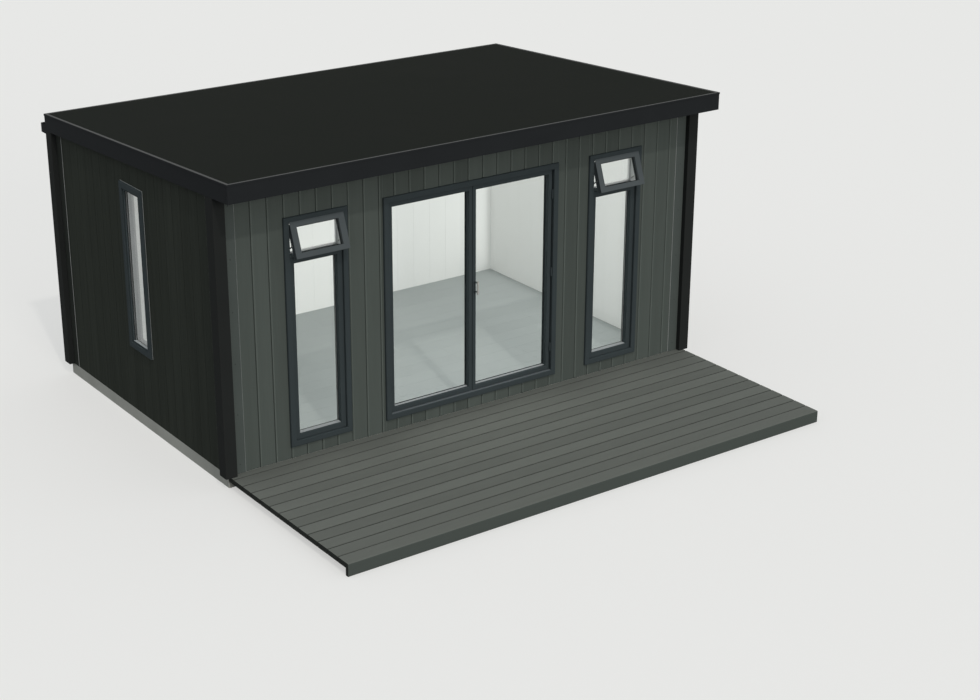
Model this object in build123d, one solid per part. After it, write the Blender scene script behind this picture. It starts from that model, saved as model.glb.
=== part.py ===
"""A garden office pod: one insulated room under a low sloping roof, with French doors and a deck.

Millimetres, +Z up. The origin is the centre of the building's footprint, on the ground.
The front looks along -Y, and the roof falls towards the rear.
"""

import os
from math import cos, floor, radians, sin

from build123d import *

# ---- Overall sizes -------------------------------------------------------------------------
OUTER_WIDTH = 5000.0  # over the corner posts, along X
OUTER_DEPTH = 3140.0  # over the corner posts, along Y
FRONT_HEIGHT = 2676.0  # roof surface at its front edge
REAR_HEIGHT = 2495.0  # roof surface at its rear edge
FRONT_OVERHANG = 260.0  # roof edge in front of the corner posts
BASE_HEIGHT = 110.0  # top of the concrete base

# ---- Walls -----------------------------------------------------------------------------------
POST_SIZE = 108.0
POST_PROUD = 50.0  # how far the posts stand out from the cladding
CLADDING_THICKNESS = 20.0
CORE_THICKNESS = 133.0
LINING_THICKNESS = 12.0
LINING_GAP = 1.0  # between the linings of two walls in a corner
FLOOR_THICKNESS = 12.0
FLASHING_WIDTH = 160.0  # from the cladding's corner
FLASHING_THICKNESS = 3.0

# ---- Roof ------------------------------------------------------------------------------------
MEMBRANE_THICKNESS = 6.0
ROOF_DECK_THICKNESS = 120.0
SOFFIT_THICKNESS = 10.0
CEILING_THICKNESS = 12.0
FASCIA_THICKNESS = 25.0
FASCIA_HEIGHT = 160.0  # from the roof surface to the fascia's lower edge
TRIM_HEIGHT = 18.0
TRIM_PROUD = 3.0
GUTTER_WIDTH = 90.0
GUTTER_HEIGHT = 85.0
GUTTER_WALL = 3.0
GUTTER_BELOW_ROOF = 100.0  # from the roof's rear edge down to the gutter's rim
DOWNPIPE_SIZE = 65.0
DOWNPIPE_WALL = 2.5
DOWNPIPE_FOOT = 60.0  # its open end above the ground

# ---- Openings and frames -----------------------------------------------------------------------
SILL_HEIGHT = 214.0  # underside of the door frame and of the front windows
OPENING_HEIGHT = 2000.0
DOOR_WIDTH = 1828.0
WINDOW_WIDTH = 600.0
WINDOW_CENTRE = 1560.0  # front windows' centre lines from the middle of the front
SIDE_WINDOW_WIDTH = 411.0
SIDE_WINDOW_HEIGHT = 1500.0
SIDE_WINDOW_SETBACK = 1536.0  # its centre line behind the front posts' faces
FRAME_WIDTH = 52.0
FRAME_PROUD = 22.0  # in front of the cladding
WINDOW_FRAME_DEPTH = 110.0
BEAD_WIDTH = 46.0
BEAD_SETBACK = 26.0  # behind the frame's face
BEAD_DEPTH = 70.0
GLASS_THICKNESS = 16.0
GLASS_SETBACK = 46.0  # behind the bead's or the leaf's face
SIDE_BEAD_WIDTH = 16.0
SIDE_BEAD_SETBACK = 12.0
SIDE_BEAD_DEPTH = 84.0
SIDE_GLASS_SETBACK = 18.0
STOP_WIDTH = 15.0
STOP_DEPTH = 17.0

# ---- Top-hung sashes, fixed open ---------------------------------------------------------------
TRANSOM_WIDTH = 20.0  # between the fixed light's bead and the sash
SASH_HEIGHT = 278.0
SASH_THICKNESS = 62.0
SASH_STILE = 50.0
SASH_RAIL = 42.0  # lower rail
SASH_HEAD_RAIL = 26.0
SASH_LIP = 7.0  # of the sash's face over the frame, at the sides
SASH_HEAD_LIP = 20.0
SASH_FOOT_LIP = 4.0
SASH_LIP_THICKNESS = 5.0
SASH_LIP_GAP = 0.5  # between the closed lip and the frame's face
SASH_HEAD_GAP = 4.0
SASH_SIDE_GAP = 3.0
SASH_GLASS_SETBACK = 28.0
SASH_OPEN_DEG = 20.0
STAY_WIDTH = 14.0
STAY_OVERLAP = 26.0  # of each stay's end on the sash and on the frame

# ---- Doors -----------------------------------------------------------------------------------
LEAF_THICKNESS = 68.0
LEAF_STILE = 36.0  # on the hinge side
MEETING_STILE = 31.0
LEAF_RAIL = 40.0
LEAF_GAP = 6.0  # over and under a leaf
HINGE_GAP = 8.0  # between the frame and a leaf's hinge edge
MEETING_GAP = 13.0
LEAF_STOP_GAP = 6.0
HINGE_RADIUS = 7.0
HINGE_OFFSET = 12.0  # from the leaf's outer face out to the hinge pins
KNUCKLE_LENGTH = 40.0
KNUCKLE_GAP = 0.3
HINGE_PLATE = 3.0
HINGE_PLATE_WIDTH = 26.0
HINGES = 3
HINGE_END = 220.0  # from a leaf's end to its first hinge
HANDLE_HEIGHT = 1245.0  # middle of the handle above the ground
HANDLE_LENGTH = 122.0
HANDLE_POST_SPACING = 84.0
HANDLE_REACH = 50.0
HANDLE_RADIUS = 9.0
HANDLE_POST_RADIUS = 6.0

# ---- Deck ------------------------------------------------------------------------------------
DECK_LENGTH = 1840.0  # from the base's front face to the deck's front face
BOARD_THICKNESS = 45.0
NOSING_DEPTH = 143.5  # front board, with its downturned front
NOSING_THICKNESS = 36.0  # of the downturned front
JOIST_WIDTH = 45.0
JOIST_SPACING = 450.0
JOIST_END = 200.0  # from the deck's ends to the outer joists

# ---- Worked out from the sizes above -------------------------------------------------------------
HALF_WIDTH = OUTER_WIDTH / 2
HALF_DEPTH = OUTER_DEPTH / 2
CLAD_X = HALF_WIDTH - POST_PROUD
CLAD_Y = HALF_DEPTH - POST_PROUD
CORE_X = CLAD_X - CLADDING_THICKNESS
CORE_Y = CLAD_Y - CLADDING_THICKNESS
INNER_X = CORE_X - CORE_THICKNESS
INNER_Y = CORE_Y - CORE_THICKNESS
ROOM_X = INNER_X - LINING_THICKNESS
ROOM_Y = INNER_Y - LINING_THICKNESS
FLOOR_TOP = BASE_HEIGHT + FLOOR_THICKNESS
POST_X = HALF_WIDTH - POST_SIZE
POST_Y = HALF_DEPTH - POST_SIZE
OPENING_HEAD = SILL_HEIGHT + OPENING_HEIGHT
SIDE_SILL = OPENING_HEAD - SIDE_WINDOW_HEIGHT
SIDE_WINDOW_Y = SIDE_WINDOW_SETBACK - HALF_DEPTH
WALL_DEPTH = CLADDING_THICKNESS + CORE_THICKNESS + LINING_THICKNESS

ROOF_FRONT = -HALF_DEPTH - FRONT_OVERHANG
ROOF_SLOPE = (FRONT_HEIGHT - REAR_HEIGHT) / (HALF_DEPTH - ROOF_FRONT)
DECK_UNDERSIDE = MEMBRANE_THICKNESS + ROOF_DECK_THICKNESS
CEILING_UNDERSIDE = DECK_UNDERSIDE + CEILING_THICKNESS
SOFFIT_UNDERSIDE = DECK_UNDERSIDE + SOFFIT_THICKNESS
INSIDE_FASCIA = HALF_WIDTH - FASCIA_THICKNESS

BEAD_FACE = BEAD_SETBACK - FRAME_PROUD
GLASS_FACE = BEAD_FACE + GLASS_SETBACK
SIDE_BEAD_FACE = SIDE_BEAD_SETBACK - FRAME_PROUD
SIDE_GLASS_FACE = SIDE_BEAD_FACE + SIDE_GLASS_SETBACK
SASH_WIDTH = WINDOW_WIDTH - 2 * FRAME_WIDTH - 2 * SASH_SIDE_GAP
SASH_TOP = OPENING_HEAD - FRAME_WIDTH - SASH_HEAD_GAP
SASH_FACE = -FRAME_PROUD - SASH_LIP_GAP - SASH_LIP_THICKNESS
SASH_HINGE_Z = SASH_TOP + SASH_HEAD_LIP
TRANSOM_TOP = SASH_TOP - SASH_HEIGHT - SASH_SIDE_GAP
TRANSOM_BOTTOM = TRANSOM_TOP - TRANSOM_WIDTH

LEAF_BOTTOM = SILL_HEIGHT + FRAME_WIDTH + LEAF_GAP
LEAF_TOP = OPENING_HEAD - FRAME_WIDTH - LEAF_GAP
FRAME_EDGE = DOOR_WIDTH / 2 - FRAME_WIDTH
LEAF_EDGE = FRAME_EDGE - HINGE_GAP
LEAF_FACE = BEAD_FACE
HINGE_Y = LEAF_FACE - HINGE_OFFSET


def block(x0, x1, y0, y1, z0, z1):
    """A box between two corners."""
    return Pos(x0, y0, z0) * Box(x1 - x0, y1 - y0, z1 - z0, align=(Align.MIN, Align.MIN, Align.MIN))


def roof_height(y, drop=0.0):
    """The height of the plane that lies a given drop below the roof surface."""
    return FRONT_HEIGHT - ROOF_SLOPE * (y - ROOF_FRONT) - drop


def prism(outline, x0, x1):
    """An outline of (y, z) points, drawn out from x0 to x1."""
    wire = Wire.make_polygon([Vector(x0, y, z) for y, z in outline], close=True)
    return extrude(Face(wire), amount=x1 - x0, dir=(1, 0, 0))


def roof_slab(x0, x1, y0, y1, top, bottom):
    """A slab in the roof's slope, between two drops below its surface."""
    outline = [
        (y0, roof_height(y0, bottom)),
        (y1, roof_height(y1, bottom)),
        (y1, roof_height(y1, top)),
        (y0, roof_height(y0, top)),
    ]
    return prism(outline, x0, x1)


def wall_block(x0, x1, y0, y1, z0, drop):
    """An upright block whose top follows the roof, a given drop below its surface."""
    outline = [(y0, z0), (y1, z0), (y1, roof_height(y1, drop)), (y0, roof_height(y0, drop))]
    return prism(outline, x0, x1)


def ring(width, z0, z1, member, y0, y1):
    """A rectangular frame centred on x = 0, with members of one width."""
    outer = block(-width / 2, width / 2, y0, y1, z0, z1)
    inner_x = width / 2 - member
    return outer - block(-inner_x, inner_x, y0 - 1, y1 + 1, z0 + member, z1 - member)


def front_place(x):
    """Puts a piece drawn on a wall's outer face on the front wall."""
    return Pos(x, -CLAD_Y, 0)


def side_place(side):
    """The same for the left wall (-1) or the right wall (1)."""
    return Pos(side * CLAD_X, SIDE_WINDOW_Y, 0) * Rot(0, 0, side * 90)


def front_openings():
    """What is cut through the front wall, as (centre, width) along X."""
    return [(-WINDOW_CENTRE, WINDOW_WIDTH), (0.0, DOOR_WIDTH), (WINDOW_CENTRE, WINDOW_WIDTH)]


def cut_front(wall):
    """Cuts the front wall's door and window openings."""
    for centre, width in front_openings():
        cutter = block(-width / 2, width / 2, -WALL_DEPTH, 2 * WALL_DEPTH, SILL_HEIGHT, OPENING_HEAD)
        wall = wall - front_place(centre) * cutter
    return wall


def cut_side(wall, side):
    """Cuts a side wall's window opening."""
    half = SIDE_WINDOW_WIDTH / 2
    cutter = block(-half, half, -WALL_DEPTH, 2 * WALL_DEPTH, SIDE_SILL, OPENING_HEAD)
    return wall - side_place(side) * cutter


def base_slab():
    return block(-CLAD_X, CLAD_X, -CLAD_Y, CLAD_Y, 0, BASE_HEIGHT)


def floor_panel():
    return block(-INNER_X, INNER_X, -INNER_Y, INNER_Y, BASE_HEIGHT, FLOOR_TOP)


def fascias():
    """Front, rear, left and right fascia boards."""
    edge = INSIDE_FASCIA
    rear = HALF_DEPTH - FASCIA_THICKNESS
    front = ROOF_FRONT + FASCIA_THICKNESS
    top, bottom = TRIM_HEIGHT, FASCIA_HEIGHT
    return {
        "front_fascia": roof_slab(-HALF_WIDTH, HALF_WIDTH, ROOF_FRONT, front, top, bottom),
        "rear_fascia": roof_slab(-HALF_WIDTH, HALF_WIDTH, rear, HALF_DEPTH, top, bottom),
        "left_fascia": roof_slab(-HALF_WIDTH, -edge, front, rear, top, bottom),
        "right_fascia": roof_slab(edge, HALF_WIDTH, front, rear, top, bottom),
    }


def front_soffit():
    back = -CLAD_Y
    front = ROOF_FRONT + FASCIA_THICKNESS
    return roof_slab(-INSIDE_FASCIA, INSIDE_FASCIA, front, back, DECK_UNDERSIDE, SOFFIT_UNDERSIDE)


def roof_deck():
    front = ROOF_FRONT + FASCIA_THICKNESS
    rear = HALF_DEPTH - FASCIA_THICKNESS
    return roof_slab(-INSIDE_FASCIA, INSIDE_FASCIA, front, rear, MEMBRANE_THICKNESS, DECK_UNDERSIDE)


def roof_membrane():
    front = ROOF_FRONT + FASCIA_THICKNESS
    rear = HALF_DEPTH - FASCIA_THICKNESS
    return roof_slab(-INSIDE_FASCIA, INSIDE_FASCIA, front, rear, 0, MEMBRANE_THICKNESS)


def roof_edge_trim():
    """The metal edging over the fascias, all round the roof."""
    side = HALF_WIDTH + TRIM_PROUD
    outer = roof_slab(-side, side, ROOF_FRONT - TRIM_PROUD, HALF_DEPTH + TRIM_PROUD, 0, TRIM_HEIGHT)
    front = ROOF_FRONT + FASCIA_THICKNESS
    rear = HALF_DEPTH - FASCIA_THICKNESS
    return outer - roof_slab(-INSIDE_FASCIA, INSIDE_FASCIA, front, rear, -1, TRIM_HEIGHT + 1)


def ceiling_panel():
    return roof_slab(-INNER_X, INNER_X, -INNER_Y, INNER_Y, DECK_UNDERSIDE, CEILING_UNDERSIDE)


def corner_posts():
    """Four posts, each notched at its top round the fascias and under the soffit."""
    posts = []
    cutters = [*fascias().values(), front_soffit()]
    for side_x in (-1, 1):
        for side_y in (-1, 1):
            x0, x1 = sorted((side_x * POST_X, side_x * HALF_WIDTH))
            y0, y1 = sorted((side_y * POST_Y, side_y * HALF_DEPTH))
            post = wall_block(x0, x1, y0, y1, BASE_HEIGHT, DECK_UNDERSIDE)
            for cutter in cutters:
                post = post - cutter
            posts.append(post)
    return posts


def post_corner(side_x, side_y):
    """The space that one corner post takes, over its whole height."""
    x0, x1 = sorted((side_x * POST_X, side_x * HALF_WIDTH))
    y0, y1 = sorted((side_y * POST_Y, side_y * HALF_DEPTH))
    return block(x0, x1, y0, y1, 0, FRONT_HEIGHT)


def front_walls():
    """The front wall's core, split beside, over and under the doorway."""
    half_door = DOOR_WIDTH / 2
    left = wall_block(-CORE_X, -half_door, -CORE_Y, -INNER_Y, BASE_HEIGHT, DECK_UNDERSIDE)
    right = wall_block(half_door, CORE_X, -CORE_Y, -INNER_Y, BASE_HEIGHT, DECK_UNDERSIDE)
    over = wall_block(-half_door, half_door, -CORE_Y, -INNER_Y, OPENING_HEAD, DECK_UNDERSIDE)
    under = block(-half_door, half_door, -CORE_Y, -INNER_Y, BASE_HEIGHT, SILL_HEIGHT)
    return {
        "front_wall_left": cut_front(left) - post_corner(-1, -1),
        "front_wall_right": cut_front(right) - post_corner(1, -1),
        "front_wall_over_door": over,
        "front_wall_under_door": under,
    }


def side_wall(side):
    x0, x1 = sorted((side * INNER_X, side * CORE_X))
    return cut_side(wall_block(x0, x1, -INNER_Y, INNER_Y, BASE_HEIGHT, DECK_UNDERSIDE), side)


def rear_wall():
    wall = wall_block(-CORE_X, CORE_X, INNER_Y, CORE_Y, BASE_HEIGHT, DECK_UNDERSIDE)
    return wall - post_corner(-1, 1) - post_corner(1, 1)


def claddings():
    """The outer boarding of each wall, between the corner posts."""
    front = wall_block(-POST_X, POST_X, -CLAD_Y, -CORE_Y, BASE_HEIGHT, DECK_UNDERSIDE)
    rear = wall_block(-POST_X, POST_X, CORE_Y, CLAD_Y, BASE_HEIGHT, DECK_UNDERSIDE)
    left = wall_block(-CLAD_X, -CORE_X, -POST_Y, POST_Y, BASE_HEIGHT, DECK_UNDERSIDE)
    right = wall_block(CORE_X, CLAD_X, -POST_Y, POST_Y, BASE_HEIGHT, DECK_UNDERSIDE)
    return {
        "front_cladding": cut_front(front),
        "rear_cladding": rear,
        "left_cladding": cut_side(left, -1),
        "right_cladding": cut_side(right, 1),
    }


def corner_flashings():
    """Flat metal strips on the cladding, beside each corner post."""
    strips = []
    strip_x = CLAD_X - FLASHING_WIDTH
    strip_y = CLAD_Y - FLASHING_WIDTH
    for side_x in (-1, 1):
        for side_y in (-1, 1):
            x0, x1 = sorted((side_x * strip_x, side_x * POST_X))
            y0, y1 = sorted((side_y * CLAD_Y, side_y * (CLAD_Y + FLASHING_THICKNESS)))
            drop = SOFFIT_UNDERSIDE if side_y < 0 else FASCIA_HEIGHT
            strips.append(wall_block(x0, x1, y0, y1, BASE_HEIGHT, drop))
            x0, x1 = sorted((side_x * CLAD_X, side_x * (CLAD_X + FLASHING_THICKNESS)))
            y0, y1 = sorted((side_y * strip_y, side_y * POST_Y))
            strips.append(wall_block(x0, x1, y0, y1, BASE_HEIGHT, DECK_UNDERSIDE))
    return strips


def wall_linings():
    """The white boarding inside, standing on the floor and ending under the ceiling."""
    drop = CEILING_UNDERSIDE
    front = wall_block(-INNER_X, INNER_X, -INNER_Y, -ROOM_Y, FLOOR_TOP, drop)
    rear = wall_block(-INNER_X, INNER_X, ROOM_Y, INNER_Y, FLOOR_TOP, drop)
    end = ROOM_Y - LINING_GAP
    left = wall_block(-INNER_X, -ROOM_X, -end, end, FLOOR_TOP, drop)
    right = wall_block(ROOM_X, INNER_X, -end, end, FLOOR_TOP, drop)
    return [cut_front(front), rear, cut_side(left, -1), cut_side(right, 1)]


def downpipe_space(size, z0, z1):
    """A square column on the axis of the downpipe, which stands against the rear right post."""
    x = (POST_X + HALF_WIDTH) / 2
    y = HALF_DEPTH + DOWNPIPE_SIZE / 2
    return block(x - size / 2, x + size / 2, y - size / 2, y + size / 2, z0, z1)


def rear_gutter():
    """An open channel with closed ends, fixed to the rear fascia, with an outlet over the downpipe."""
    rim = REAR_HEIGHT - GUTTER_BELOW_ROOF
    bottom = rim - GUTTER_HEIGHT
    outer = block(-HALF_WIDTH, HALF_WIDTH, HALF_DEPTH, HALF_DEPTH + GUTTER_WIDTH, bottom, rim)
    x = HALF_WIDTH - GUTTER_WALL
    y0 = HALF_DEPTH + GUTTER_WALL
    y1 = HALF_DEPTH + GUTTER_WIDTH - GUTTER_WALL
    channel = block(-x, x, y0, y1, bottom + GUTTER_WALL, rim + 1)
    outlet = downpipe_space(DOWNPIPE_SIZE - 2 * DOWNPIPE_WALL, bottom - 1, rim)
    return outer - channel - (outlet & block(-x, x, y0, y1, bottom - 1, rim))


def downpipe():
    top = REAR_HEIGHT - GUTTER_BELOW_ROOF - GUTTER_HEIGHT
    pipe = downpipe_space(DOWNPIPE_SIZE, DOWNPIPE_FOOT, top)
    return pipe - downpipe_space(DOWNPIPE_SIZE - 2 * DOWNPIPE_WALL, DOWNPIPE_FOOT - 1, top + 1)


def light_frame(width, z0, z1, bead, face, depth):
    """The bead ring that holds one fixed pane, inside a light of the given size."""
    return ring(width, z0, z1, bead, face, face + depth)


def light_glass(width, z0, z1, bead, face):
    """The pane inside that bead ring."""
    half = width / 2 - bead
    return block(-half, half, face, face + GLASS_THICKNESS, z0 + bead, z1 - bead)


def window_frame():
    """A front window's frame: a fixed light below, a transom and a light for the sash."""
    back = WINDOW_FRAME_DEPTH - FRAME_PROUD
    clear = WINDOW_WIDTH - 2 * FRAME_WIDTH
    half = clear / 2
    frame = ring(WINDOW_WIDTH, SILL_HEIGHT, OPENING_HEAD, FRAME_WIDTH, -FRAME_PROUD, back)
    frame += block(-half, half, -FRAME_PROUD, back, TRANSOM_BOTTOM, TRANSOM_TOP)
    frame += light_frame(clear, SILL_HEIGHT + FRAME_WIDTH, TRANSOM_BOTTOM, BEAD_WIDTH, BEAD_FACE, BEAD_DEPTH)
    head = OPENING_HEAD - FRAME_WIDTH
    frame += ring(clear, TRANSOM_TOP, head, STOP_WIDTH, back - STOP_DEPTH, back)
    return frame


def window_pane():
    clear = WINDOW_WIDTH - 2 * FRAME_WIDTH
    return light_glass(clear, SILL_HEIGHT + FRAME_WIDTH, TRANSOM_BOTTOM, BEAD_WIDTH, GLASS_FACE)


def swing_sash(piece):
    """Swings a piece of the closed sash out to its open place, about the lip's upper outer edge."""
    turn = Rot(-SASH_OPEN_DEG, 0, 0)
    return Pos(0, SASH_FACE, SASH_HINGE_Z) * turn * Pos(0, -SASH_FACE, -SASH_HINGE_Z) * piece


def sash_light():
    """The sash's glazed opening, as (half width, lower edge, upper edge)."""
    return SASH_WIDTH / 2 - SASH_STILE, SASH_TOP - SASH_HEIGHT + SASH_RAIL, SASH_TOP - SASH_HEAD_RAIL


def window_sash():
    """The sash that fits inside the frame, with a lip round it that closes over the frame's face."""
    half, z0, z1 = sash_light()
    foot = SASH_TOP - SASH_HEIGHT
    back = SASH_FACE + SASH_THICKNESS
    lip_half = SASH_WIDTH / 2 + SASH_LIP
    lip_back = SASH_FACE + SASH_LIP_THICKNESS
    closed = block(-SASH_WIDTH / 2, SASH_WIDTH / 2, SASH_FACE, back, foot, SASH_TOP)
    closed += block(-lip_half, lip_half, SASH_FACE, lip_back, foot - SASH_FOOT_LIP, SASH_HINGE_Z)
    return swing_sash(closed - block(-half, half, SASH_FACE - 1, back + 1, z0, z1))


def sash_pane():
    half, z0, z1 = sash_light()
    y0 = SASH_FACE + SASH_GLASS_SETBACK
    return swing_sash(block(-half, half, y0, y0 + GLASS_THICKNESS, z0, z1))


def sash_point(below_hinge, behind_face):
    """A point of the open sash, as (y, z)."""
    angle = radians(SASH_OPEN_DEG)
    y = SASH_FACE - below_hinge * sin(angle) + behind_face * cos(angle)
    z = SASH_HINGE_Z - below_hinge * cos(angle) - behind_face * sin(angle)
    return y, z


def window_stays():
    """Two flat arms, one in each side gap, from the frame's jamb to the sash's side."""
    y0, z0 = sash_point(SASH_HEAD_LIP + SASH_HEIGHT * 0.62, SASH_THICKNESS * 0.6)
    y1 = BEAD_FACE + BEAD_DEPTH - STOP_WIDTH
    z1 = TRANSOM_TOP + STAY_OVERLAP
    half = STAY_WIDTH / 2
    stays = []
    for side in (-1, 1):
        x0, x1 = sorted((side * SASH_WIDTH / 2, side * (SASH_WIDTH / 2 + SASH_SIDE_GAP)))
        outline = [(y0, z0 - half), (y1, z1 - half), (y1, z1 + half), (y0, z0 + half)]
        stays.append(prism(outline, x0, x1))
    return stays


def side_window_frame():
    back = WINDOW_FRAME_DEPTH - FRAME_PROUD
    width = SIDE_WINDOW_WIDTH
    frame = ring(width, SIDE_SILL, OPENING_HEAD, FRAME_WIDTH, -FRAME_PROUD, back)
    clear = width - 2 * FRAME_WIDTH
    z0 = SIDE_SILL + FRAME_WIDTH
    z1 = OPENING_HEAD - FRAME_WIDTH
    return frame + light_frame(clear, z0, z1, SIDE_BEAD_WIDTH, SIDE_BEAD_FACE, SIDE_BEAD_DEPTH)


def side_window_pane():
    clear = SIDE_WINDOW_WIDTH - 2 * FRAME_WIDTH
    z0 = SIDE_SILL + FRAME_WIDTH
    z1 = OPENING_HEAD - FRAME_WIDTH
    return light_glass(clear, z0, z1, SIDE_BEAD_WIDTH, SIDE_GLASS_FACE)


def door_frame():
    """The door's frame, with a stop behind the leaves."""
    back = LEAF_FACE + LEAF_THICKNESS + LEAF_STOP_GAP + STOP_DEPTH
    frame = ring(DOOR_WIDTH, SILL_HEIGHT, OPENING_HEAD, FRAME_WIDTH, -FRAME_PROUD, back)
    stop_face = back - STOP_DEPTH
    clear = DOOR_WIDTH - 2 * FRAME_WIDTH
    z0 = SILL_HEIGHT + FRAME_WIDTH
    z1 = OPENING_HEAD - FRAME_WIDTH
    return frame + ring(clear, z0, z1, STOP_WIDTH, stop_face, back)


def leaf_span(side):
    """The x range of a leaf, for the left (-1) or the right (1) one."""
    return sorted((side * LEAF_EDGE, side * MEETING_GAP / 2))


def leaf_light(side, y0, y1):
    """The block that fills a leaf's glazed opening, between two depths."""
    x0, x1 = sorted((side * (LEAF_EDGE - LEAF_STILE), side * (MEETING_GAP / 2 + MEETING_STILE)))
    return block(x0, x1, y0, y1, LEAF_BOTTOM + LEAF_RAIL, LEAF_TOP - LEAF_RAIL)


def door_leaf(side):
    x0, x1 = leaf_span(side)
    back = LEAF_FACE + LEAF_THICKNESS
    leaf = block(x0, x1, LEAF_FACE, back, LEAF_BOTTOM, LEAF_TOP)
    return leaf - leaf_light(side, LEAF_FACE - 1, back + 1)


def door_pane(side):
    return leaf_light(side, GLASS_FACE, GLASS_FACE + GLASS_THICKNESS)


def hinge_heights():
    """The middle height of each hinge."""
    low = LEAF_BOTTOM + HINGE_END
    high = LEAF_TOP - HINGE_END
    return [low + (high - low) * index / (HINGES - 1) for index in range(HINGES)]


def knuckle(side, z0):
    """A hinge barrel on the pin's axis."""
    barrel = Cylinder(HINGE_RADIUS, KNUCKLE_LENGTH, align=(Align.CENTER, Align.CENTER, Align.MIN))
    return Pos(side * LEAF_EDGE, HINGE_Y, z0) * barrel


def frame_knuckles():
    """The lower barrel of every hinge, with a plate that meets the door frame."""
    pieces = []
    for side in (-1, 1):
        for height in hinge_heights():
            z0 = height - KNUCKLE_LENGTH - KNUCKLE_GAP / 2
            x0, x1 = sorted((side * LEAF_EDGE, side * FRAME_EDGE))
            half = HINGE_PLATE / 2
            plate = block(x0, x1, HINGE_Y - half, HINGE_Y + half, z0, z0 + KNUCKLE_LENGTH)
            pieces.append(knuckle(side, z0) + plate)
    return pieces


def leaf_knuckles(side):
    """The upper barrel of every hinge on one leaf, with a plate that lies on the leaf."""
    pieces = []
    for height in hinge_heights():
        z0 = height + KNUCKLE_GAP / 2
        z1 = z0 + KNUCKLE_LENGTH
        x0, x1 = sorted((side * LEAF_EDGE, side * (LEAF_EDGE - HINGE_PLATE)))
        web = block(x0, x1, HINGE_Y, LEAF_FACE, z0, z1)
        x0, x1 = sorted((side * LEAF_EDGE, side * (LEAF_EDGE - HINGE_PLATE_WIDTH)))
        plate = block(x0, x1, LEAF_FACE - HINGE_PLATE, LEAF_FACE, z0, z1)
        pieces.append(knuckle(side, z0) + web + plate)
    return pieces


def pull(face, reach):
    """A bar on two posts that stand on a face, reaching towards the side that reach points to."""
    x = (MEETING_GAP + MEETING_STILE) / 2
    bar = Cylinder(HANDLE_RADIUS, HANDLE_LENGTH)
    handle = Pos(x, face + reach, HANDLE_HEIGHT) * bar
    for side in (-1, 1):
        z = HANDLE_HEIGHT + side * HANDLE_POST_SPACING / 2
        post = Rot(90, 0, 0) * Cylinder(HANDLE_POST_RADIUS, abs(reach))
        handle += Pos(x, face + reach / 2, z) * post
    return handle


def door_handles():
    """A pull outside and one inside, on the right leaf's meeting stile."""
    outside = pull(LEAF_FACE, -HANDLE_REACH)
    inside = pull(LEAF_FACE + LEAF_THICKNESS, HANDLE_REACH)
    return [outside, inside]


def deck_nosing():
    """The front board, turned down over the joists' ends to the ground."""
    front = -CLAD_Y - DECK_LENGTH
    underside = BASE_HEIGHT - BOARD_THICKNESS
    board = block(-CLAD_X, CLAD_X, front, front + NOSING_DEPTH, underside, BASE_HEIGHT)
    return board + block(-CLAD_X, CLAD_X, front, front + NOSING_THICKNESS, 0, BASE_HEIGHT)


def deck_boards():
    front = -CLAD_Y - DECK_LENGTH + NOSING_DEPTH
    return block(-CLAD_X, CLAD_X, front, -CLAD_Y, BASE_HEIGHT - BOARD_THICKNESS, BASE_HEIGHT)


def deck_joists():
    front = -CLAD_Y - DECK_LENGTH + NOSING_THICKNESS
    span = 2 * CLAD_X - 2 * JOIST_END - JOIST_WIDTH
    bays = max(1, floor(span / JOIST_SPACING + 0.5))
    joists = []
    for index in range(bays + 1):
        x = -span / 2 + span * index / bays
        half = JOIST_WIDTH / 2
        joists.append(block(x - half, x + half, front, -CLAD_Y, 0, BASE_HEIGHT - BOARD_THICKNESS))
    return joists


def pair(make):
    """The same piece in the left and the right front window."""
    made = []
    for side in (-1, 1):
        place = front_place(side * WINDOW_CENTRE)
        pieces = make()
        for piece in pieces if isinstance(pieces, list) else [pieces]:
            made.append(place * piece)
    return made


def in_doorway(pieces):
    """Puts the door's pieces, drawn on the wall's outer face, in the front wall."""
    return [front_place(0) * piece for piece in pieces]


def build():
    nodes = {
        "base_slab": base_slab(),
        "floor_panel": floor_panel(),
        "corner_posts": corner_posts(),
        "left_wall": side_wall(-1),
        "right_wall": side_wall(1),
        "rear_wall": rear_wall(),
        "corner_flashings": corner_flashings(),
        "wall_linings": wall_linings(),
        "roof_deck": roof_deck(),
        "roof_membrane": roof_membrane(),
        "roof_edge_trim": roof_edge_trim(),
        "front_soffit": front_soffit(),
        "ceiling_panel": ceiling_panel(),
        "rear_gutter": rear_gutter(),
        "downpipe": downpipe(),
        "front_window_frames": pair(window_frame),
        "front_window_glass": pair(window_pane),
        "window_sashes": pair(window_sash),
        "sash_glass": pair(sash_pane),
        "window_stays": pair(window_stays),
        "side_window_frames": [side_place(side) * side_window_frame() for side in (-1, 1)],
        "side_window_glass": [side_place(side) * side_window_pane() for side in (-1, 1)],
        "door_frame": in_doorway([door_frame()]),
        "frame_hinges": in_doorway(frame_knuckles()),
        "door_handles": in_doorway(door_handles()),
        "deck_boards": deck_boards(),
        "deck_joists": deck_joists(),
        "deck_nosing": deck_nosing(),
    }
    nodes.update(fascias())
    nodes.update(front_walls())
    nodes.update(claddings())
    for name, side in (("left", -1), ("right", 1)):
        nodes[f"{name}_door_leaf"] = in_doorway([door_leaf(side)])
        nodes[f"{name}_door_glass"] = in_doorway([door_pane(side)])
        nodes[f"{name}_door_hinges"] = in_doorway(leaf_knuckles(side))
    return nodes


def write(name, made):
    """Writes one node, as one solid or as a compound of solids that don't touch."""
    pieces = made if isinstance(made, list) else [made]
    solids = [solid for piece in pieces for solid in piece.solids()]
    shape = solids[0] if len(solids) == 1 else Compound(children=solids)
    export_step(shape, f"parts/{name}.step")
    print(f"{name}: {len(solids)} solid(s)")


os.makedirs("parts", exist_ok=True)
for node_name, node_shape in build().items():
    write(node_name, node_shape)
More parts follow.
